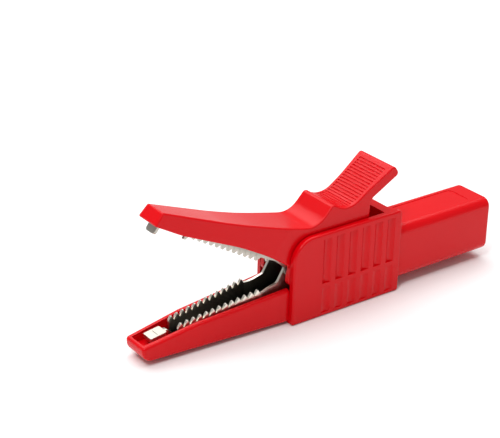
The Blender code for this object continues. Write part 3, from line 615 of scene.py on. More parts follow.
# ---- finishes ------------------------------------------------------------------------
class SurfaceGroups:
    """The shader node groups that the finishes share."""

    def __init__(self) -> None:
        """Builds the two groups once."""
        self.moulded = self._moulded()
        self.plated = self._plated()

    @staticmethod
    def _group(name: str, inputs: dict[str, float]) -> tuple[Tree, Node]:
        """Makes an empty group that gives out colour, roughness and height.

        Args:
            name: The group's name.
            inputs: Number inputs with their usual values, after the colour.

        Returns:
            The group and its input node.
        """
        group = bpy.data.node_groups.new(name, "ShaderNodeTree")
        group.interface.new_socket("Colour", in_out="INPUT", socket_type="NodeSocketColor")
        for label, value in inputs.items():
            socket = group.interface.new_socket(label, in_out="INPUT", socket_type="NodeSocketFloat")
            socket.default_value = value
        group.interface.new_socket("Colour", in_out="OUTPUT", socket_type="NodeSocketColor")
        group.interface.new_socket("Roughness", in_out="OUTPUT", socket_type="NodeSocketFloat")
        group.interface.new_socket("Height", in_out="OUTPUT", socket_type="NodeSocketFloat")
        return group, group.nodes.new("NodeGroupInput")

    @staticmethod
    def _noise(group: Tree, scale: Socket | float,
               stretch: Sequence[float], detail: float) -> Socket:
        """Adds a noise on Object coordinates.

        Args:
            group: The group that it goes in.
            scale: Its scale, as a number or a socket.
            stretch: Stretch of the coordinates along each axis.
            detail: Its detail.

        Returns:
            The noise's value.
        """
        place = group.nodes.new("ShaderNodeTexCoord")
        mapping = group.nodes.new("ShaderNodeMapping")
        mapping.inputs["Scale"].default_value = stretch
        noise = group.nodes.new("ShaderNodeTexNoise")
        noise.inputs["Detail"].default_value = detail
        connect(group, (place, "Object", mapping, "Vector"), (mapping, "Vector", noise, "Vector"))
        if isinstance(scale, Socket):
            group.links.new(scale, noise.inputs["Scale"])
        else:
            noise.inputs["Scale"].default_value = scale
        return noise.outputs["Fac"]

    @staticmethod
    def _spread(group: Tree, value: Socket, middle: Socket,
                amount: Socket) -> Socket:
        """Adds middle + (value - 0.5) * amount.

        Args:
            group: The group that it goes in.
            value: A value around one half.
            middle: What the result is around.
            amount: How far it spreads.

        Returns:
            The result.
        """
        centred = group.nodes.new("ShaderNodeMath")
        centred.operation = "SUBTRACT"
        centred.inputs[1].default_value = 0.5
        scaled = group.nodes.new("ShaderNodeMath")
        scaled.operation = "MULTIPLY_ADD"
        group.links.new(value, centred.inputs[0])
        group.links.new(centred.outputs[0], scaled.inputs[0])
        group.links.new(amount, scaled.inputs[1])
        group.links.new(middle, scaled.inputs[2])
        return scaled.outputs[0]

    def _toned(self, group: Tree, enter: Node,
               value: Socket) -> Socket:
        """Shifts the colour's brightness a little with a value.

        Args:
            group: The group that it goes in.
            enter: Its input node, with Colour, Plain and Mottle.
            value: A value around one half.

        Returns:
            The colour.
        """
        tone = group.nodes.new("ShaderNodeHueSaturation")
        bright = self._spread(group, value, enter.outputs["Plain"], enter.outputs["Mottle"])
        group.links.new(bright, tone.inputs["Value"])
        group.links.new(enter.outputs["Colour"], tone.inputs["Color"])
        return tone.outputs["Color"]

    def _surface(self, group: Tree, enter: Node, tone: Socket, wear: Socket, base: Socket, fine: Socket,
                 share: str) -> Tree:
        """Ends a group in its colour, roughness and height.

        Args:
            group: The group.
            enter: Its input node.
            tone: Noise that shifts the brightness.
            wear: Noise that shifts the roughness.
            base: Noise that the height is around.
            fine: Finer noise on top of it.
            share: Name of the input that says how much of the fine noise there is.

        Returns:
            The group.
        """
        leave = group.nodes.new("NodeGroupOutput")
        gloss = self._spread(group, wear, enter.outputs["Gloss"], enter.outputs["Handling"])
        skin = self._spread(group, fine, base, enter.outputs[share])
        for socket, entry in ((self._toned(group, enter, tone), "Colour"), (gloss, "Roughness"),
                              (skin, "Height")):
            group.links.new(socket, leave.inputs[entry])
        return group

    def _moulded(self) -> Tree:
        """Moulded plastic: clouded colour, handled gloss and a fine orange-peel skin."""
        group, enter = self._group("moulded_surface", {
            "Plain": 1.0, "Mottle": 0.1, "Gloss": 0.3, "Handling": 0.1,
            "Peel Scale": 900.0, "Grain Scale": 5200.0, "Grain Share": 0.35})
        cloud = self._noise(group, 70.0, (1.0, 1.0, 1.0), 3.0)
        smear = self._noise(group, 260.0, (0.35, 1.0, 1.0), 5.0)
        peel = self._noise(group, enter.outputs["Peel Scale"], (1.0, 1.0, 1.0), 1.0)
        grain = self._noise(group, enter.outputs["Grain Scale"], (1.0, 1.0, 1.0), 2.0)
        return self._surface(group, enter, cloud, smear, peel, grain, "Grain Share")

    def _plated(self) -> Tree:
        """Plated metal: faint stains, rolling lines and fine pits."""
        group, enter = self._group("plated_surface", {
            "Plain": 1.0, "Mottle": 0.2, "Gloss": 0.22, "Handling": 0.2,
            "Line Scale": 900.0, "Pit Scale": 4200.0, "Pit Share": 0.5})
        stain = self._noise(group, 330.0, (1.0, 1.0, 1.0), 4.0)
        lines = self._noise(group, enter.outputs["Line Scale"], (0.08, 1.0, 1.0), 3.0)
        pits = self._noise(group, enter.outputs["Pit Scale"], (1.0, 1.0, 1.0), 2.0)
        return self._surface(group, enter, stain, lines, lines, pits, "Pit Share")


@dataclass(frozen=True)
class Finish:
    """One finish of the clip.

    Attributes:
        name: The material's name.
        colour: Linear colour.
        gloss: Middle of its roughness.
        handling: Spread of its roughness.
        mottle: Spread of its brightness.
        metallic: 1 for metal.
        relief: Depth of its fine relief, in metres.
        specular: Strength of its reflection, 0.5 for common plastic.
        painted_channel_shade: How far painted shade darkens the plating deep in the jaw's channel.
    """

    name: str
    colour: tuple[float, float, float]
    gloss: float
    handling: float
    mottle: float
    metallic: float = 0.0
    relief: float = 0.000004
    specular: float = 0.5
    painted_channel_shade: float = 0.0

    def material(self, groups: SurfaceGroups) -> Paint:
        """Builds the material.

        Args:
            groups: The shared node groups.

        Returns:
            The material.
        """
        material = bpy.data.materials.new(self.name)
        material.use_nodes = True
        nodes = material.node_tree.nodes
        shader = nodes["Principled BSDF"]
        shader.inputs["Metallic"].default_value = self.metallic
        shader.inputs["Specular IOR Level"].default_value = self.specular
        surface = nodes.new("ShaderNodeGroup")
        surface.node_tree = groups.plated if self.metallic else groups.moulded
        surface.inputs["Colour"].default_value = (*self.colour, 1.0)
        surface.inputs["Gloss"].default_value = self.gloss
        surface.inputs["Handling"].default_value = self.handling
        surface.inputs["Mottle"].default_value = self.mottle
        bump = nodes.new("ShaderNodeBump")
        bump.inputs["Strength"].default_value = 1.0
        bump.inputs["Distance"].default_value = self.relief
        # The base colour gets painted shade deep in the channel.
        colour = self.with_painted_channel_shade(material.node_tree, surface)
        material.node_tree.links.new(colour, shader.inputs["Base Color"])
        connect(material.node_tree, (surface, "Roughness", shader, "Roughness"),
                (surface, "Height", bump, "Height"), (bump, "Normal", shader, "Normal"))
        return material

    def with_painted_channel_shade(self, tree: Tree, surface: Node) -> Socket:
        """Paints shade into the colour deep in the channel, where the finish asks for painted channel shade.

        Args:
            tree: The material's nodes.
            surface: The node that gives the clean colour.

        Returns:
            The colour.
        """
        if not self.painted_channel_shade:
            return surface.outputs["Colour"]
        depth = tree.nodes.new("ShaderNodeAttribute")
        depth.attribute_name = CHANNEL
        share = tree.nodes.new("ShaderNodeMath")
        share.operation = "MULTIPLY"
        share.inputs[1].default_value = self.painted_channel_shade
        mix = tree.nodes.new("ShaderNodeMix")
        mix.data_type = "RGBA"
        # The painted shade mixes this near-black colour into the plating.
        mix.inputs["B"].default_value = (*PAINTED_SHADE_COLOUR, 1.0)
        connect(tree, (depth, "Fac", share, 0), (share, 0, mix, "Factor"), (surface, "Colour", mix, "A"))
        return mix.outputs["Result"]


class Finishes:
    """Every finish, built once."""

    def __init__(self, groups: SurfaceGroups) -> None:
        """Builds the materials.

        Args:
            groups: The shared node groups.
        """
        red = (0.68, 0.0004, 0.004)
        self.body = Finish("red_body_plastic", red, 0.25, 0.1, 0.1, specular=0.2).material(groups)
        self.lever = Finish("red_lever_plastic", red, 0.25, 0.1, 0.1, specular=0.2).material(groups)
        self.sleeve = Finish("red_sleeve_plastic", (0.55, 0.006, 0.012), 0.4, 0.1, 0.12).material(groups)
        # Both plated sheets get painted shade deep in the jaws' channel.
        self.sheet = Finish("nickel_sheet_plating", (0.84, 0.8, 0.7), 0.32, 0.16, 0.14, 1.0,
                            0.000002, painted_channel_shade=0.96).material(groups)
        # The upper jaw's sheet is the same plating with painted shade: a darker copy, so that its teeth
        # stand out against the pale floor.
        self.shaded_sheet = Finish("nickel_sheet_plating_painted_shade", (0.5, 0.47, 0.415), 0.34, 0.16, 0.2, 1.0,
                                   0.000002, painted_channel_shade=0.9).material(groups)
        self.brass = Finish("nickel_brass_plating", (0.82, 0.78, 0.68), 0.2, 0.12, 0.14, 1.0,
                            0.0000015).material(groups)
        self.pin = Finish("pin_steel_turned", (0.6, 0.6, 0.61), 0.28, 0.15, 0.15, 1.0,
                          0.0000015).material(groups)
        self.spring = Finish("spring_wire_drawn", (0.4, 0.4, 0.42), 0.32, 0.2, 0.2, 1.0,
                             0.0000015).material(groups)
        self.screw = Finish("screw_zinc_plating", (0.66, 0.66, 0.63), 0.3, 0.2, 0.2, 1.0,
                            0.000002).material(groups)


# ---- lines that several pieces share -------------------------------------------------
@dataclass(frozen=True)
class JawLine:
    """The nose rim, the line on which the teeth meet and the two rows in plan.

    Attributes:
        rim: Height of the body's nose rim by station.
        bite_height: Height of the tooth line at the nose.
        bite_slope: Its slope.
        first_tooth: Station of the first tooth.
        pitch: Tooth pitch.
        count: Number of teeth.
        depth: Tooth depth.
        tooth_half: Half a tooth's width at its root, as a share of the pitch.
        sink: How far a tooth goes into its wall.
        blunt: Half the width of a tooth's tip.
        clearance: Between the rows when the jaws are closed.
        row_start: Middle of the sheet at the first tooth.
        row_slope: How the rows spread.
        sheet: Sheet thickness.
        upper_ear: Middle of the upper jaw's ears.
        lower_ear: Middle of the lower jaw's ears.
        ear_station: Where the ears run straight.
        dark_start: Distance from the tooth line where the painted shade in the channel starts.
        dark_reach: Distance over which the painted shade deepens.
    """

    rim: tuple[Point, ...] = ((0.0, 4.3), (13.0, 6.4), (35.0, 8.1))
    bite_height: float = 4.75
    bite_slope: float = 0.145
    first_tooth: float = 9.2
    pitch: float = 1.52
    count: int = 13
    depth: float = 1.05
    tooth_half: float = 0.49
    sink: float = 0.2
    blunt: float = 0.09
    clearance: float = 0.25
    row_start: float = 1.75
    row_slope: float = 0.0632
    sheet: float = 0.6
    upper_ear: float = 3.25
    lower_ear: float = 2.55
    ear_station: float = 31.0
    dark_start: float = 0.65
    dark_reach: float = 1.2

    @property
    def last_tooth(self) -> float:
        """Station where the toothed rows end."""
        return self.first_tooth + self.count * self.pitch

    def bite(self, x: float) -> float:
        """Height of the tooth line at a station."""
        return self.bite_height + self.bite_slope * x

    def row(self, x: float) -> float:
        """Middle of a toothed row at a station."""
        return self.row_start + self.row_slope * (x - self.first_tooth)

    def path(self, start: float, end: float, ear: float) -> list[Point]:
        """Plan line of one wall: along the toothed row, out to the ear and straight on."""
        return [(start, self.row(start)), (self.last_tooth, self.row(self.last_tooth)),
                (self.ear_station, ear), (end, ear)]

    def strip(self, start: float, end: float, ear: float, side: int) -> list[Point]:
        """Plan of one upright wall.

        Args:
            start: Station of its front end.
            end: Station of its rear end.
            ear: Middle of its ear.
            side: 1 or -1.

        Returns:
            The outline.
        """
        path, half = self.path(start, end, ear), self.sheet / 2
        inner = [(x, side * (y - half)) for x, y in path]
        return inner + [(x, side * (y + half)) for x, y in reversed(path)]

    def web(self, start: float, end: float, ear: float) -> list[Point]:
        """Plan of the web between two walls."""
        return mirrored(self.path(start, end, ear))

    def teeth(self, trees: RepeatTrees, material: Paint, side: int,
              upwards: bool) -> Piece:
        """One row of teeth.

        Args:
            trees: The Geometry Nodes trees.
            material: Its finish.
            side: 1 or -1.
            upwards: True for the lower jaw.

        Returns:
            The row, sunk a little into its wall.
        """
        sign = 1 if upwards else -1
        x = self.first_tooth + (self.pitch / 2 if upwards else self.pitch)
        root = self.bite(x) - sign * (self.depth + self.clearance) / 2
        half, middle = self.pitch * self.tooth_half, side * self.row(x)
        tip, foot = root + sign * self.depth, root - sign * self.sink
        tooth = prism("teeth", [
            (x - half, foot), (x + half, foot), (x + half, root),
            (x + self.blunt, tip), (x - self.blunt, tip), (x - half, root),
        ], middle - self.sheet / 2, middle + self.sheet / 2, View.SIDE)
        step = (self.pitch, side * self.pitch * self.row_slope, self.pitch * self.bite_slope)
        count = self.count if upwards else self.count - 1
        return trees.on_line.apply(tooth, count=count, step=step, material=material)

    def complete(self, jaw: Piece, trees: RepeatTrees, material: Paint,
                 upwards: bool) -> None:
        """Gives a stamped jaw its teeth, its rounded edges and the holes in its ears.

        Args:
            jaw: The stamped jaw.
            trees: The Geometry Nodes trees.
            material: Its finish.
            upwards: True for the lower jaw.
        """
        for side in (-1, 1):
            combine(jaw, self.teeth(trees, material, side, upwards), Combine.JOIN)
        round_edges(jaw, STAMPED_ROUND, 2, sharpest=50.0, merge_flats=True)
        combine(jaw, pin_bore("ear_hole", 5.0), Combine.CUT)

    def darkness(self, height: float) -> float:
        """How dark the painted shade in the channel is at a height inwards from the tooth line."""
        return (height - self.dark_start) / self.dark_reach


JAWS = JawLine()


# ---- body moulding -------------------------------------------------------------------
@dataclass
class BodyMoulding:
    """The one-piece body: lower nose, fluted cheeks and socket housing."""

    cheek_front: float = 35.0
    cheek_rear: float = 64.4
    cheek_wall: float = 1.3
    cheek_corner: float = 5.2
    cheek_rear_corner: float = 1.0
    cheek_rim: float = 1.0
    rear_wall_drop: float = 1.2
    channel_floor: float = 2.0
    channel_rear: float = 62.0
    nose_half: float = 3.4
    nose_root_half: float = 5.2
    nose_wall: float = 1.2
    nose_front_wall: float = 0.9
    nose_bottom: float = 1.0
    nose_root_bottom: float = 0.5
    nose_round: float = 0.7
    nose_edge_round: float = 0.14
    rim_round: float = 0.22
    recess_floor: float = 4.2
    trough_floor: float = 2.1
    trough_start: float = 8.2
    pocket_floor: float = 2.9
    housing_half: float = 5.7
    housing_bottom: float = 2.0
    housing_top: float = 14.8
    housing_round: float = 2.1
    mouth_round: float = 0.8
    panel_length: float = 18.0
    panel_half: float = 3.3
    panel_depth: float = 0.09
    panel_margin: float = 4.5
    panel_corner: float = 1.2
    socket_radius: float = 4.1
    socket_depth: float = 25.0
    bore_round: float = 0.3
    pin_pocket: float = 0.7
    flute_count: int = 6
    flute_pitch: float = 3.5
    flute_half: float = 1.1
    flute_depth: float = 0.5
    flute_last: float = 3.1
    flute_top: float = 18.2
    band_low: float = 6.8
    band_high: float = 7.8

    def __post_init__(self) -> None:
        """Takes the outer sizes from the shared frame."""
        low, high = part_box("body_housing")
        self.length = 2 * high.x / MM
        self.half = high.y / MM
        self.height = high.z / MM

    @property
    def channel_half(self) -> float:
        """Half the width of the channel between the cheeks."""
        return self.half - self.cheek_wall

    def plan_half(self, x: float) -> float:
        """Half the width of the nose at a station."""
        return self.nose_half + (self.nose_root_half - self.nose_half) * x / self.cheek_front

    def cheeks(self) -> Piece:
        """The cheek block, rounded all along its outer rims."""
        block = prism("body_moulding", outline([
            (self.cheek_front, 0.0, 0.5), (self.cheek_rear, 0.0, 0.5),
            (self.cheek_rear, self.height, self.cheek_rear_corner),
            (self.cheek_front, self.height, self.cheek_corner),
        ], steps=14), -self.half, self.half, View.SIDE)
        return round_edges(block, self.cheek_rim, 6)

    def nose(self) -> Piece:
        """The lower nose before it is hollowed."""
        inside = self.cheek_front + 3.0
        (x0, z0), (x1, z1), (x2, z2) = JAWS.rim
        nose = prism("nose", outline([
            (x0 + 0.05, z0, 0.75), (x0 + 0.3, self.nose_bottom, 2.2),
            (x2, self.nose_root_bottom), (inside, self.nose_root_bottom), (inside, z2), (x2, z2),
            (x1, z1, 12.0),
        ]), -9.0, 9.0, View.SIDE)
        line = [(-1.0, self.plan_half(-1.0)), (inside + 1, self.plan_half(inside))]
        combine(nose, prism("nose_plan", mirrored(line), -5.0, 20.0, View.TOP), Combine.KEEP)
        return round_edges(nose, self.nose_round, 5, merge_flats=True)

    def housing(self) -> Piece:
        """The socket housing."""
        section = rectangle((-self.housing_half, self.housing_bottom),
                            (self.housing_half, self.housing_top), self.housing_round, 9)
        housing = prism("housing", section, self.channel_rear + 0.7, self.length, View.END)
        return round_edges(housing, self.mouth_round, 5,
                           lambda a, b: min(a.x, b.x) > self.length - 1)

    def nose_tools(self) -> list[Piece]:
        """The recess, pad pocket, neck slot and trough of the nose."""
        def tapered(name: str, start: float, end: float, floor: float, wall: float) -> Piece:
            line = [(x, self.plan_half(x) - wall) for x in (start, end)]
            return prism(name, mirrored(line), floor, above, View.TOP)

        front, rear, wall, above = self.nose_front_wall, self.cheek_front + 0.5, self.nose_wall, 14.0
        return [
            tapered("recess", front, rear, self.recess_floor, wall),
            tapered("pocket", front + 0.1, 7.2, self.pocket_floor, wall + 0.1),
            tapered("trough", self.trough_start, self.cheek_front + 0.7, self.trough_floor, wall + 0.1),
            box("neck_slot", (6.2, -1.0, self.pocket_floor), (9.2, 1.0, above)),
        ]

    def flutes(self, trees: RepeatTrees, material: Paint) -> list[Piece]:
        """The tools for the upper and lower flutes of both cheeks.

        Args:
            trees: The Geometry Nodes trees.
            material: The body's finish.

        Returns:
            One row of tools for each side and height.
        """
        tools = []
        last = self.cheek_rear - self.flute_last
        for low, high, depth in ((self.band_high, self.flute_top, self.flute_depth),
                                 (0.9, self.band_low, self.flute_depth * 0.5)):
            radius = (self.flute_half ** 2 + depth ** 2) / (2 * depth)
            for side in (-1, 1):
                y = side * (self.half + radius - depth)
                tool = rod("flutes", radius, (last, y, low), (last, y, high), 64)
                tools.append(trees.on_line.apply(tool, count=self.flute_count,
                                                 step=(-self.flute_pitch, 0.0, 0.0), material=material))
        return tools

    def build(self, trees: RepeatTrees, material: Paint) -> Piece:
        """Builds the finished moulding.

        Args:
            trees: The Geometry Nodes trees.
            material: Its finish.

        Returns:
            The piece in the shared frame.
        """
        body = self.cheeks()
        combine(body, self.nose(), Combine.JOIN)
        combine(body, self.housing(), Combine.JOIN)
        above, wall_top = self.height + 5, self.height - self.rear_wall_drop
        front, behind = self.cheek_front - 0.01, self.cheek_rear + 1
        combine(body, prism("channel", [
            (front, self.channel_floor), (self.channel_rear, self.channel_floor),
            (self.channel_rear, wall_top), (behind, wall_top), (behind, above), (front, above),
        ], -self.channel_half, self.channel_half, View.SIDE), Combine.CUT)
        inner = self.channel_half
        round_edges(body, self.rim_round, 3, lambda a, b: (
            abs(abs(a.y) - inner) < 0.01 and abs(abs(b.y) - inner) < 0.01
            and min(a.z, b.z) > self.channel_floor + 0.5 and min(a.x, b.x) > self.cheek_front - 1
            and max(a.x, b.x) < self.channel_rear + 1.6 and min(a.z, b.z) > wall_top + 0.3),
            merge_flats=True)
        for tool in self.nose_tools():
            combine(body, tool, Combine.CUT)
        round_edges(body, self.nose_edge_round, 2, lambda a, b: (
            max(a.x, b.x) < self.cheek_front - 0.3 and min(a.z, b.z) > self.recess_floor - 0.3
            and abs(a.y) < self.plan_half(a.x) - self.nose_round - 0.1
            and abs(b.y) < self.plan_half(b.x) - self.nose_round - 0.1), sharpest=60.0)
        for tool in self.flutes(trees, material):
            combine(body, tool, Combine.CUT)
        round_edges(body, self.rim_round, 3, lambda a, b: (
            abs(abs(a.y) - self.half) < 0.003 and abs(abs(b.y) - self.half) < 0.003), sharpest=8.0)
        self.panel(body)
        self.bores(body)
        return dress(body, CLIP.base(), material)

    def panel(self, body: Piece) -> None:
        """Sinks the shallow panel into the housing's top.

        Args:
            body: The moulding.
        """
        end, half, top = self.length - self.panel_margin, self.panel_half, self.housing_top
        points = rectangle((end - self.panel_length, -half), (end, half), self.panel_corner)
        combine(body, prism("panel", points, top - self.panel_depth, top + 2, View.TOP), Combine.CUT)

    def bores(self, body: Piece) -> None:
        """Cuts the socket bore, the screw hole and the pin's blind pockets.

        Args:
            body: The moulding.
        """
        axis = (self.housing_bottom + self.housing_top) / 2
        deep = self.length - self.socket_depth
        combine(body, rod("bore", self.socket_radius, (deep, 0, axis), (self.length + 2, 0, axis), 64),
                Combine.CUT)
        round_edges(body, self.bore_round, 3, lambda a, b: (
            min(a.x, b.x) > self.length - 0.01
            and math.hypot(a.y, a.z - axis) < self.socket_radius + 0.1))
        combine(body, rod("screw_hole", SCREW_HOLE, (self.channel_rear - 1, 0, axis),
                          (deep + 1, 0, axis)), Combine.CUT)
        combine(body, pin_bore("pin_pockets", self.channel_half + self.pin_pocket), Combine.CUT)


# ---- lever moulding ------------------------------------------------------------------
@dataclass
class LeverMoulding:
    """The lever: upper nose, ridge and ribbed thumb pad, drawn with the jaws closed."""

    half: float = 5.0
    nose_half: float = 3.2
    full_x: float = 30.0
    wall: float = 1.2
    roof: float = 1.5
    back: tuple[Point, ...] = ((-0.1, 7.65), (8.4, 10.2), (15.4, 12.3), (22.5, 14.75), (29.6, 17.55),
                               (33.6, 19.3))
    mouth_edge: tuple[Point, ...] = ((5.4, 5.42), (7.4, 5.78), (11.1, 6.7), (15.9, 7.9), (20.8, 9.1),
                                     (26.1, 10.0), (29.5, 10.45))
    brow: Point = (36.3, 20.9)
    ridge: Point = (36.9, 26.5)
    sweep: float = 5.4
    pad_end: Point = (46.2, 40.4)
    pad_angle: float = math.radians(72.0)
    pad_thickness: float = 2.6
    pad_end_half: float = 5.7
    pad_flare: float = 8.5
    edge_round: float = 0.5
    draft: float = 0.35
    rib_pitch: float = 0.74
    rib_radius: float = 0.22
    rib_proud: float = 0.03
    rib_side_band: float = 0.8
    rib_end_band: float = 1.9

    def plan_half(self, x: float) -> float:
        """Half the width of the lever at a station."""
        return min(self.half, self.nose_half + (self.half - self.nose_half) * x / self.full_x)

    @property
    def up(self) -> Vector:
        """Unit vector up the pad in the side view."""
        return Vector((math.cos(self.pad_angle), math.sin(self.pad_angle)))

    @property
    def saddle(self) -> Point:
        """Where the pad's line meets the level behind the ridge."""
        level = self.ridge[1] + 0.1
        end_x, end_z = self.pad_end
        return end_x - (end_z - level) * self.up.x / self.up.y, level

    def side_view(self) -> list[Point]:
        """The lever's outline."""
        end_x, end_z = self.pad_end
        under = (end_x + self.up.y * self.pad_thickness, end_z - self.up.x * self.pad_thickness)
        web_z = self.ridge[1] + 5.0
        web_x = under[0] - (under[1] - web_z) * self.up.x / self.up.y
        low, ear = PIVOT_Z - 4.8, PIVOT_Z - 1.5
        return outline([
            (-0.3, 4.6, 0.35), *flowing(self.mouth_edge), (PIVOT_X - 3.5, ear, 1.0),
            (PIVOT_X - 1.8, low, 1.5), (PIVOT_X + 3.5, low, 3.0),
            (PIVOT_X + 11.8, PIVOT_Z + 3.3, 2.0), (PIVOT_X + 12.2, PIVOT_Z + 12.0, 4.0),
            (web_x, web_z, 2.0), (*under, 0.9), (end_x, end_z, 0.9),
            (*self.saddle, self.sweep), (*self.ridge, 0.9), (*self.brow, 5.0),
            *reversed(flowing(self.back)[1:]), (*self.back[0], 0.35),
        ], steps=9)

    def plan(self, name: str, wall: float, start: float, end: float) -> Piece:
        """Plan view of the lever, or of its hollow, as a tall solid.

        Args:
            name: The object's name.
            wall: How far inside the lever's sides it lies.
            start: Its front station.
            end: Its rear station.

        Returns:
            A closed solid.
        """
        line = [(x, self.plan_half(x) - wall) for x in (start, self.full_x, end)]
        return prism(name, mirrored(line), -10.0, 60.0, View.TOP)

    def flare(self) -> Piece:
        """The wedge that lets the pad grow wider towards its end."""
        root = self.half - 0.1
        beyond = self.pad_end_half + (self.pad_end_half - root) / self.pad_flare
        wedge = prism("flare", mirrored([(-self.pad_flare, root), (1.0, beyond)]), -ACROSS, ACROSS,
                      View.TOP)
        wedge.data.transform(Matrix.Translation((self.pad_end[0], 0, self.pad_end[1]))
                             @ Matrix.Rotation(-self.pad_angle, 4, "Y"))
        return wedge

    def hollow(self) -> Piece:
        """The space inside the lever for the upper jaw."""
        front, rear, crown = 1.6, self.brow[0] - 3.7, self.brow[1] - 2.0
        line = [(x, interpolate(self.back, x) - self.roof) for x in (front, 15.4, 22.5, rear)]
        space = prism("hollow", [
            (front, -2.0), *line, (PIVOT_X - 4.0, crown), (PIVOT_X + 4.5, crown),
            (PIVOT_X + 8.5, PIVOT_Z + 1.3), (PIVOT_X + 8.5, -2.0),
        ], -7.0, 7.0, View.SIDE)
        return combine(space, self.plan("hollow_plan", self.wall, front - 1, PIVOT_X + 10), Combine.KEEP)

    def lean_in(self, lever: Piece) -> None:
        """Gives the sides of the nose their draft, narrower at the back.

        Args:
            lever: The moulding, in the clip's frame.
        """
        for vertex in lever.data.vertices:
            x, y, z = vertex.co
            if x > self.full_x + 4:
                continue
            low = interpolate(JAWS.rim, x)
            share = max(0.0, min(1.0, (z - low) / (interpolate(self.back, x) - low)))
            fade = min(1.0, (self.full_x + 4 - x) / 12.0)
            vertex.co.y -= math.copysign(self.draft * share * fade, y) if abs(y) > 1.0 else 0.0

    def ribs(self, trees: RepeatTrees, material: Paint) -> Piece:
        """The tools for the grooves between the pad's ribs.

        Args:
            trees: The Geometry Nodes trees.
            material: The lever's finish.

        Returns:
            The row of bars, along the sweep and up the pad.
        """
        end = Vector(self.pad_end) - self.up * self.rib_end_band
        arc = [Vector(p) for p in corner_arc(self.ridge, (*self.saddle, self.sweep), self.pad_end, 24)]
        proud = Vector((-self.up.y, self.up.x)) * self.rib_proud
        middle = arc[-1] + proud * (self.sweep / self.rib_proud)
        lifted = [p.lerp(middle, self.rib_proud / self.sweep) for p in reversed(arc)]
        path = [(p.x, 0.0, p.y) for p in (end + proud, *lifted)]
        width = 2 * (self.half - self.rib_side_band)
        return trees.on_path.apply(path_piece("ribs", path), pitch=self.rib_pitch,
                                   radius=self.rib_radius, width=width, material=material)

    def build(self, trees: RepeatTrees, material: Paint) -> Piece:
        """Builds the finished moulding.

        Args:
            trees: The Geometry Nodes trees.
            material: Its finish.

        Returns:
            The piece in the shared frame.
        """
        lever = prism("lever_moulding", self.side_view(), -6.7, 6.7, View.SIDE)
        plan = combine(self.plan("lever_plan", 0.0, -2.0, 60.0), self.flare(), Combine.JOIN)
        combine(lever, plan, Combine.KEEP)
        round_edges(lever, self.edge_round, 5, sharpest=45.0, merge_flats=True)
        self.lean_in(lever)
        combine(lever, self.hollow(), Combine.CUT)
        combine(lever, pin_bore("pin_hole", ACROSS), Combine.CUT)
        combine(lever, self.ribs(trees, material), Combine.CUT)
        return dress(lever, CLIP.lever(), material)


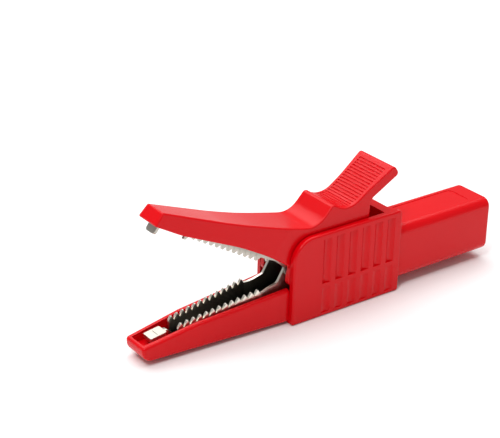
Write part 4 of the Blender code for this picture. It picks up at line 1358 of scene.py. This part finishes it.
# ---- stamped jaws --------------------------------------------------------------------
@dataclass
class LowerJaw:
    """The lower jaw: floor strip, toothed walls, ears, tip pad, neck and bent-up tail."""

    strip_low: float = 2.5
    ear_rear: float = 43.0
    tail_face: float = 61.7
    tail_half: float = 2.5
    tip_start: float = 3.1
    tip_end: float = 6.9
    tip_half: float = 1.5
    tip_corner: float = 0.35
    line_half: float = 0.06
    line_depth: float = 0.12
    # Behind dark_from the channel gets painted shade by depth; in front of it the tip pad and neck get an
    # even painted shade that tones down their highlight.
    dark_from: float = 8.6
    neck_half: float = 0.6
    pad_painted_shade: float = 0.28
    socket_axis: float = 8.4

    def wall(self, side: int) -> Piece:
        """One upright wall with its ear.

        Args:
            side: 1 or -1.

        Returns:
            The wall without its teeth.
        """
        start, last = JAWS.first_tooth + 0.2, JAWS.last_tooth
        drop = (JAWS.depth + JAWS.clearance) / 2
        view = [(start, self.strip_low)] + outline([
            (self.ear_rear, self.strip_low), (self.ear_rear, PIVOT_Z + 1.3, 1.5),
            (PIVOT_X + 1.5, PIVOT_Z + 3.2, 2.0), (PIVOT_X - 2.0, PIVOT_Z + 3.2, 2.0),
            (PIVOT_X - 4.0, PIVOT_Z - 0.5, 1.5), (PIVOT_X - 5.5, PIVOT_Z - 3.0, 1.0),
            (last + 1.0, JAWS.bite(last) - 0.6),
        ]) + [(last, JAWS.bite(last) - drop), (start, JAWS.bite(start) - drop)]
        wall = prism("jaw_wall", JAWS.strip(self.tip_end, self.ear_rear + 4, JAWS.lower_ear, side),
                     0.0, TALL, View.TOP)
        return combine(wall, prism("jaw_side", view, -ACROSS, ACROSS, View.SIDE), Combine.KEEP)

    def tip(self) -> Piece:
        """The tip pad with its fine cross line, and the neck behind it."""
        low, high, rim = self.tip_start, self.tip_end, JAWS.rim
        top, rear = interpolate(rim, low), interpolate(rim, high)
        points = rectangle((low, -self.tip_half), (high, self.tip_half), self.tip_corner, 4)
        pad = prism("tip_pad", points, 2.0, 9.0, View.TOP)
        combine(pad, prism("tip_side", [(low - 1, top - 0.9), (high + 1, rear - 0.9), (high + 1, rear + 0.1),
                                        (low - 1, top - 0.1)], -4.0, 4.0, View.SIDE), Combine.KEEP)
        middle = (low + high) / 2
        combine(pad, box("tip_line", (middle - self.line_half, -1.0,
                                      interpolate(rim, middle) - self.line_depth),
                         (middle + self.line_half, 1.0, 9.0)), Combine.CUT)
        neck_top, x = rear - 0.2, JAWS.first_tooth
        neck = prism("neck", [
            (high - 0.5, neck_top - JAWS.sheet), (high + 0.4, neck_top - JAWS.sheet),
            (x + 0.6, self.strip_low), (x + 2.0, self.strip_low),
            (x + 2.0, self.strip_low + JAWS.sheet), (x + 0.9, self.strip_low + JAWS.sheet),
            (high + 0.7, neck_top), (high - 0.5, neck_top),
        ], -self.neck_half, self.neck_half, View.SIDE)
        return combine(pad, neck, Combine.JOIN)

    def build(self, trees: RepeatTrees, material: Paint) -> Piece:
        """Builds the finished jaw.

        Args:
            trees: The Geometry Nodes trees.
            material: Its finish.

        Returns:
            The piece in the shared frame.
        """
        jaw = self.wall(-1)
        combine(jaw, self.wall(1), Combine.JOIN)
        web = JAWS.web(JAWS.first_tooth + 0.2, self.ear_rear, JAWS.lower_ear)
        low, sheet, face = self.strip_low, JAWS.sheet, self.tail_face
        combine(jaw, prism("strip", web, low, low + sheet, View.TOP), Combine.JOIN)
        top = self.socket_axis + 3
        combine(jaw, prism("tail", outline([
            (self.ear_rear - 3, low), (face, low, sheet), (face, top), (face - sheet, top),
            (face - sheet, low + sheet), (self.ear_rear - 3, low + sheet),
        ]), -self.tail_half, self.tail_half, View.SIDE), Combine.JOIN)
        combine(jaw, self.tip(), Combine.JOIN)
        JAWS.complete(jaw, trees, material, upwards=True)
        axis = self.socket_axis
        combine(jaw, rod("tail_hole", SCREW_HOLE, (face - 2, 0, axis), (face + 1, 0, axis)),
                Combine.CUT)
        # Painted shade: darker deeper in the channel, and an even painted shade on the tip pad and neck.
        mark_painted_shade(jaw, lambda co: (JAWS.darkness(JAWS.bite(co.x) - co.z) if co.x > self.dark_from
                                    else self.pad_painted_shade))
        return dress(jaw, CLIP.base(), material)


@dataclass
class UpperJaw:
    """The upper jaw: roof strip, toothed walls, ears and the bent-down tip tab."""

    lever: LeverMoulding
    gap: float = 0.3
    tab_x: float = 1.6
    tab_half: float = 1.5
    tab_bottom: float = 3.1
    tab_corner: float = 0.7
    bright_end: float = 4.0
    roof_rear: float = 32.1

    def under(self, x: float, drop: float = 0.0) -> float:
        """Height of the jaw's roof at a station, or a distance below it."""
        return interpolate(self.lever.back, x) - self.lever.roof - self.gap - drop

    def wall(self, side: int) -> Piece:
        """One upright wall with its ear and its long first tooth.

        Args:
            side: 1 or -1.

        Returns:
            The wall without its row of teeth.
        """
        start, last = JAWS.first_tooth - JAWS.pitch / 2, JAWS.last_tooth
        rise = (JAWS.depth + JAWS.clearance) / 2
        view = [
            (start, JAWS.bite(start) - 0.9), (start + 0.5, JAWS.bite(start) - 0.85),
            (start + 1.3, JAWS.bite(start + 1.3) + rise), (last, JAWS.bite(last) + rise),
        ] + outline([
            (last, JAWS.bite(last) + rise), (last + 3, JAWS.bite(last) + 1.3, 1.5),
            (PIVOT_X - 3.4, PIVOT_Z - 2.2, 0.8), (PIVOT_X - 2.4, PIVOT_Z - 3.4, 1.2),
            (PIVOT_X + 2.6, PIVOT_Z - 3.4, 2.0), (PIVOT_X + 4.0, PIVOT_Z + 0.5, 2.0),
            (PIVOT_X + 2.0, PIVOT_Z + 4.6, 1.5), (self.roof_rear, self.under(self.roof_rear)),
        ])[1:] + [(x, self.under(x)) for x in (22.5, start)]
        wall = prism("upper_wall", JAWS.strip(6.9, 47.0, JAWS.upper_ear, side), 0.0, TALL, View.TOP)
        return combine(wall, prism("upper_side", view, -ACROSS, ACROSS, View.SIDE), Combine.KEEP)

    def roof(self) -> Piece:
        """The roof strip, narrow at its front."""
        stations = (self.tab_x + 0.2, 15.4, 22.5, self.roof_rear)
        view = [(x, self.under(x, JAWS.sheet)) for x in stations]
        view += [(x, self.under(x)) for x in reversed(stations)]
        start = JAWS.first_tooth - JAWS.pitch / 2
        half = [(self.tab_x, self.tab_half), (start - 1.2, self.tab_half), (start, JAWS.row(start)),
                (JAWS.last_tooth, JAWS.row(JAWS.last_tooth)), (JAWS.ear_station, JAWS.upper_ear),
                (PIVOT_X, JAWS.upper_ear)]
        strip = prism("roof", view, -ACROSS, ACROSS, View.SIDE)
        return combine(strip, prism("roof_plan", mirrored(half), 0.0, TALL, View.TOP), Combine.KEEP)

    def build(self, trees: RepeatTrees, material: Paint) -> Piece:
        """Builds the finished jaw.

        Args:
            trees: The Geometry Nodes trees.
            material: Its finish.

        Returns:
            The piece in the shared frame.
        """
        jaw = self.wall(-1)
        combine(jaw, self.wall(1), Combine.JOIN)
        combine(jaw, self.roof(), Combine.JOIN)
        half, bottom, top = self.tab_half, self.tab_bottom, self.under(self.tab_x, 0.1)
        points = outline([(-half, bottom, self.tab_corner), (half, bottom, self.tab_corner),
                          (half, top), (-half, top)])
        tab = prism("tab", points, self.tab_x, self.tab_x + JAWS.sheet, View.END)
        combine(jaw, tab, Combine.JOIN)
        JAWS.complete(jaw, trees, material, upwards=False)
        # Painted shade: darker deeper up in the channel; none on the tip tab in front of bright_end.
        mark_painted_shade(jaw, lambda co: (JAWS.darkness(co.z - JAWS.bite(co.x)) if co.x > self.bright_end
                                    else 0.0))
        return dress(jaw, CLIP.lever(), material)


# ---- spring --------------------------------------------------------------------------
@dataclass
class ClosingSpring:
    """The torsion spring: a coil on the pin with a leg on each half."""

    wire: float = 0.4
    coil: float = 2.05
    pitch: float = 0.9
    turns: int = 4
    lower_angle: float = math.radians(-30.0)
    upper_angle: float = math.radians(50.0)
    lower_leg: float = 13.0
    upper_leg: float = 6.0

    def build(self, trees: RepeatTrees, material: Paint) -> Piece:
        """Builds the spring in the stored pose.

        Args:
            trees: The Geometry Nodes trees.
            material: Its finish.

        Returns:
            The piece in the shared frame.
        """
        upper = self.upper_angle - CLIP.opening
        start = self.lower_angle - math.pi / 2
        sweep = start - (upper + math.pi / 2 - 2 * math.pi * self.turns)
        width = self.pitch * sweep / (2 * math.pi)
        steps = 24 * self.turns

        def on_coil(share: float) -> Vector:
            angle = start - sweep * share
            return Vector((PIVOT_X + self.coil * math.cos(angle), width * (share - 0.5),
                           PIVOT_Z + self.coil * math.sin(angle)))

        def leg(share: float, angle: float, length: float) -> Vector:
            return on_coil(share) + Vector((math.cos(angle), 0.0, math.sin(angle))) * length

        path = [leg(0, self.lower_angle, self.lower_leg)]
        path += [on_coil(i / steps) for i in range(steps + 1)]
        path.append(leg(1, upper, self.upper_leg))
        spring = trees.wire.apply(path_piece("closing_spring", path), radius=self.wire, material=material)
        return dress(spring, CLIP.base(), material)

    def join(self, spring: Piece) -> None:
        """Bakes the spring's place into its mesh.

        Args:
            spring: The piece.
        """
        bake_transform(spring)


# ---- studio --------------------------------------------------------------------------
@dataclass
class Studio:
    """A pale floor, soft light and the camera."""

    azimuth: float = math.radians(36.62)
    elevation: float = math.radians(25.29)
    roll: float = math.radians(-1.23)
    distance: float = 0.3205
    lens: float = 108.0
    target: tuple[float, float, float] = (-0.0098, 0.01076, 0.0179)
    floor_size: float = 6.0
    floor_drop: float = 0.00005
    sky: float = 0.36
    key: float = 2.9
    key_spread: float = math.radians(75.0)
    key_from: tuple[float, float, float] = (0.05, 0.3, 1.0)
    edge_from: tuple[float, float, float] = (-0.45, -0.25, 0.75)
    edge_size: float = 0.12
    edge_power: float = 1.8

    def camera(self) -> None:
        """Places the camera and makes it the scene's own."""
        flat = math.cos(self.elevation)
        ahead = Vector((math.sin(self.azimuth) * flat, math.cos(self.azimuth) * flat,
                        -math.sin(self.elevation)))
        data = bpy.data.cameras.new("studio_camera")
        data.lens = self.lens
        data.clip_start = 0.01
        camera = new_object("studio_camera", data)
        aim = ahead.to_track_quat("-Z", "Y").to_matrix().to_4x4()
        place = Matrix.Translation(Vector(self.target) - ahead * self.distance)
        camera.matrix_world = place @ Matrix.Rotation(self.roll, 4, ahead) @ aim
        bpy.context.scene.camera = camera

    def floor(self) -> None:
        """Lays the pale floor."""
        half = self.floor_size / 2
        shape = bmesh.new()
        corners = ((-half, -half), (half, -half), (half, half), (-half, half))
        shape.faces.new([shape.verts.new((x, y, -self.floor_drop)) for x, y in corners])
        floor = new_piece("studio_floor", shape)
        material = bpy.data.materials.new("pale_floor")
        material.use_nodes = True
        shader = material.node_tree.nodes["Principled BSDF"]
        shader.inputs["Base Color"].default_value = (0.9, 0.9, 0.9, 1.0)
        shader.inputs["Roughness"].default_value = 0.7
        shader.inputs["Specular IOR Level"].default_value = 0.2
        floor.data.materials.append(material)

    def key_light(self) -> None:
        """Adds the broad, soft light from above, even over the whole floor."""
        data = bpy.data.lights.new("broad_key", "SUN")
        data.energy = self.key
        data.angle = self.key_spread
        lamp = new_object("broad_key", data)
        lamp.rotation_euler = Vector(self.key_from).to_track_quat("Z", "Y").to_euler()

    def edge_light(self) -> None:
        """Adds the small light that picks out the rounded edges."""
        data = bpy.data.lights.new("edge_light", "AREA")
        data.size = self.edge_size
        data.energy = self.edge_power
        lamp = new_object("edge_light", data)
        lamp.location = self.edge_from
        lamp.rotation_euler = Vector(self.edge_from).to_track_quat("Z", "Y").to_euler()

    def room(self) -> None:
        """Sets the pale room: dim as a light, white where it is seen."""
        world = bpy.data.worlds.new("pale_room")
        world.use_nodes = True
        nodes = world.node_tree.nodes
        seen = nodes.new("ShaderNodeBackground")
        mix = nodes.new("ShaderNodeMixShader")
        path = nodes.new("ShaderNodeLightPath")
        dim = nodes["Background"]
        for background, strength in ((dim, self.sky), (seen, 1.0)):
            background.inputs["Color"].default_value = (1.0, 1.0, 1.0, 1.0)
            background.inputs["Strength"].default_value = strength
        connect(world.node_tree, (path, "Is Camera Ray", mix, 0), (dim, "Background", mix, 1),
                (seen, "Background", mix, 2), (mix, "Shader", nodes["World Output"], "Surface"))
        bpy.context.scene.world = world
        bpy.context.scene.view_settings.view_transform = "Standard"


# ---- assembly ------------------------------------------------------------------------
def attach(piece: Piece, body: Body, node: str) -> None:
    """Lets a piece ride on its body in place of its CAD node.

    Args:
        piece: The finished piece.
        body: The body that it rides on.
        node: The CAD node that it stands for.
    """
    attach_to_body(piece, body.value)
    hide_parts(node)
    LOG.info("%s rides on %s with %d faces", piece.name, body.value, len(piece.data.polygons))


def repaint(node: str, material: Paint) -> None:
    """Gives a CAD node a better finish.

    Args:
        node: The node's name.
        material: Its finish.
    """
    for holder in frame["nodes"][node].material_slots:
        holder.material = material
    LOG.info("%s is repainted", node)


def main() -> None:
    """Builds every piece and the studio."""
    logging.basicConfig(level=logging.INFO, format="%(name)s: %(message)s")
    studio = Studio()
    studio.camera()
    studio.floor()
    studio.key_light()
    studio.edge_light()
    studio.room()

    trees = RepeatTrees()
    finishes = Finishes(SurfaceGroups())
    lever = LeverMoulding()
    attach(BodyMoulding().build(trees, finishes.body), Body.BASE, "body_housing")
    attach(lever.build(trees, finishes.lever), Body.LEVER, "lever")
    attach(LowerJaw().build(trees, finishes.sheet), Body.BASE, "lower_jaw")
    attach(UpperJaw(lever).build(trees, finishes.shaded_sheet), Body.LEVER, "upper_jaw")

    spring = ClosingSpring()
    coil = spring.build(trees, finishes.spring)
    spring.join(coil)
    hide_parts("torsion_spring")

    repaint("pivot_pin", finishes.pin)
    repaint("socket_contact", finishes.brass)
    repaint("contact_sleeve", finishes.sleeve)
    repaint("contact_screw", finishes.screw)


if __name__ == "__main__":
    main()
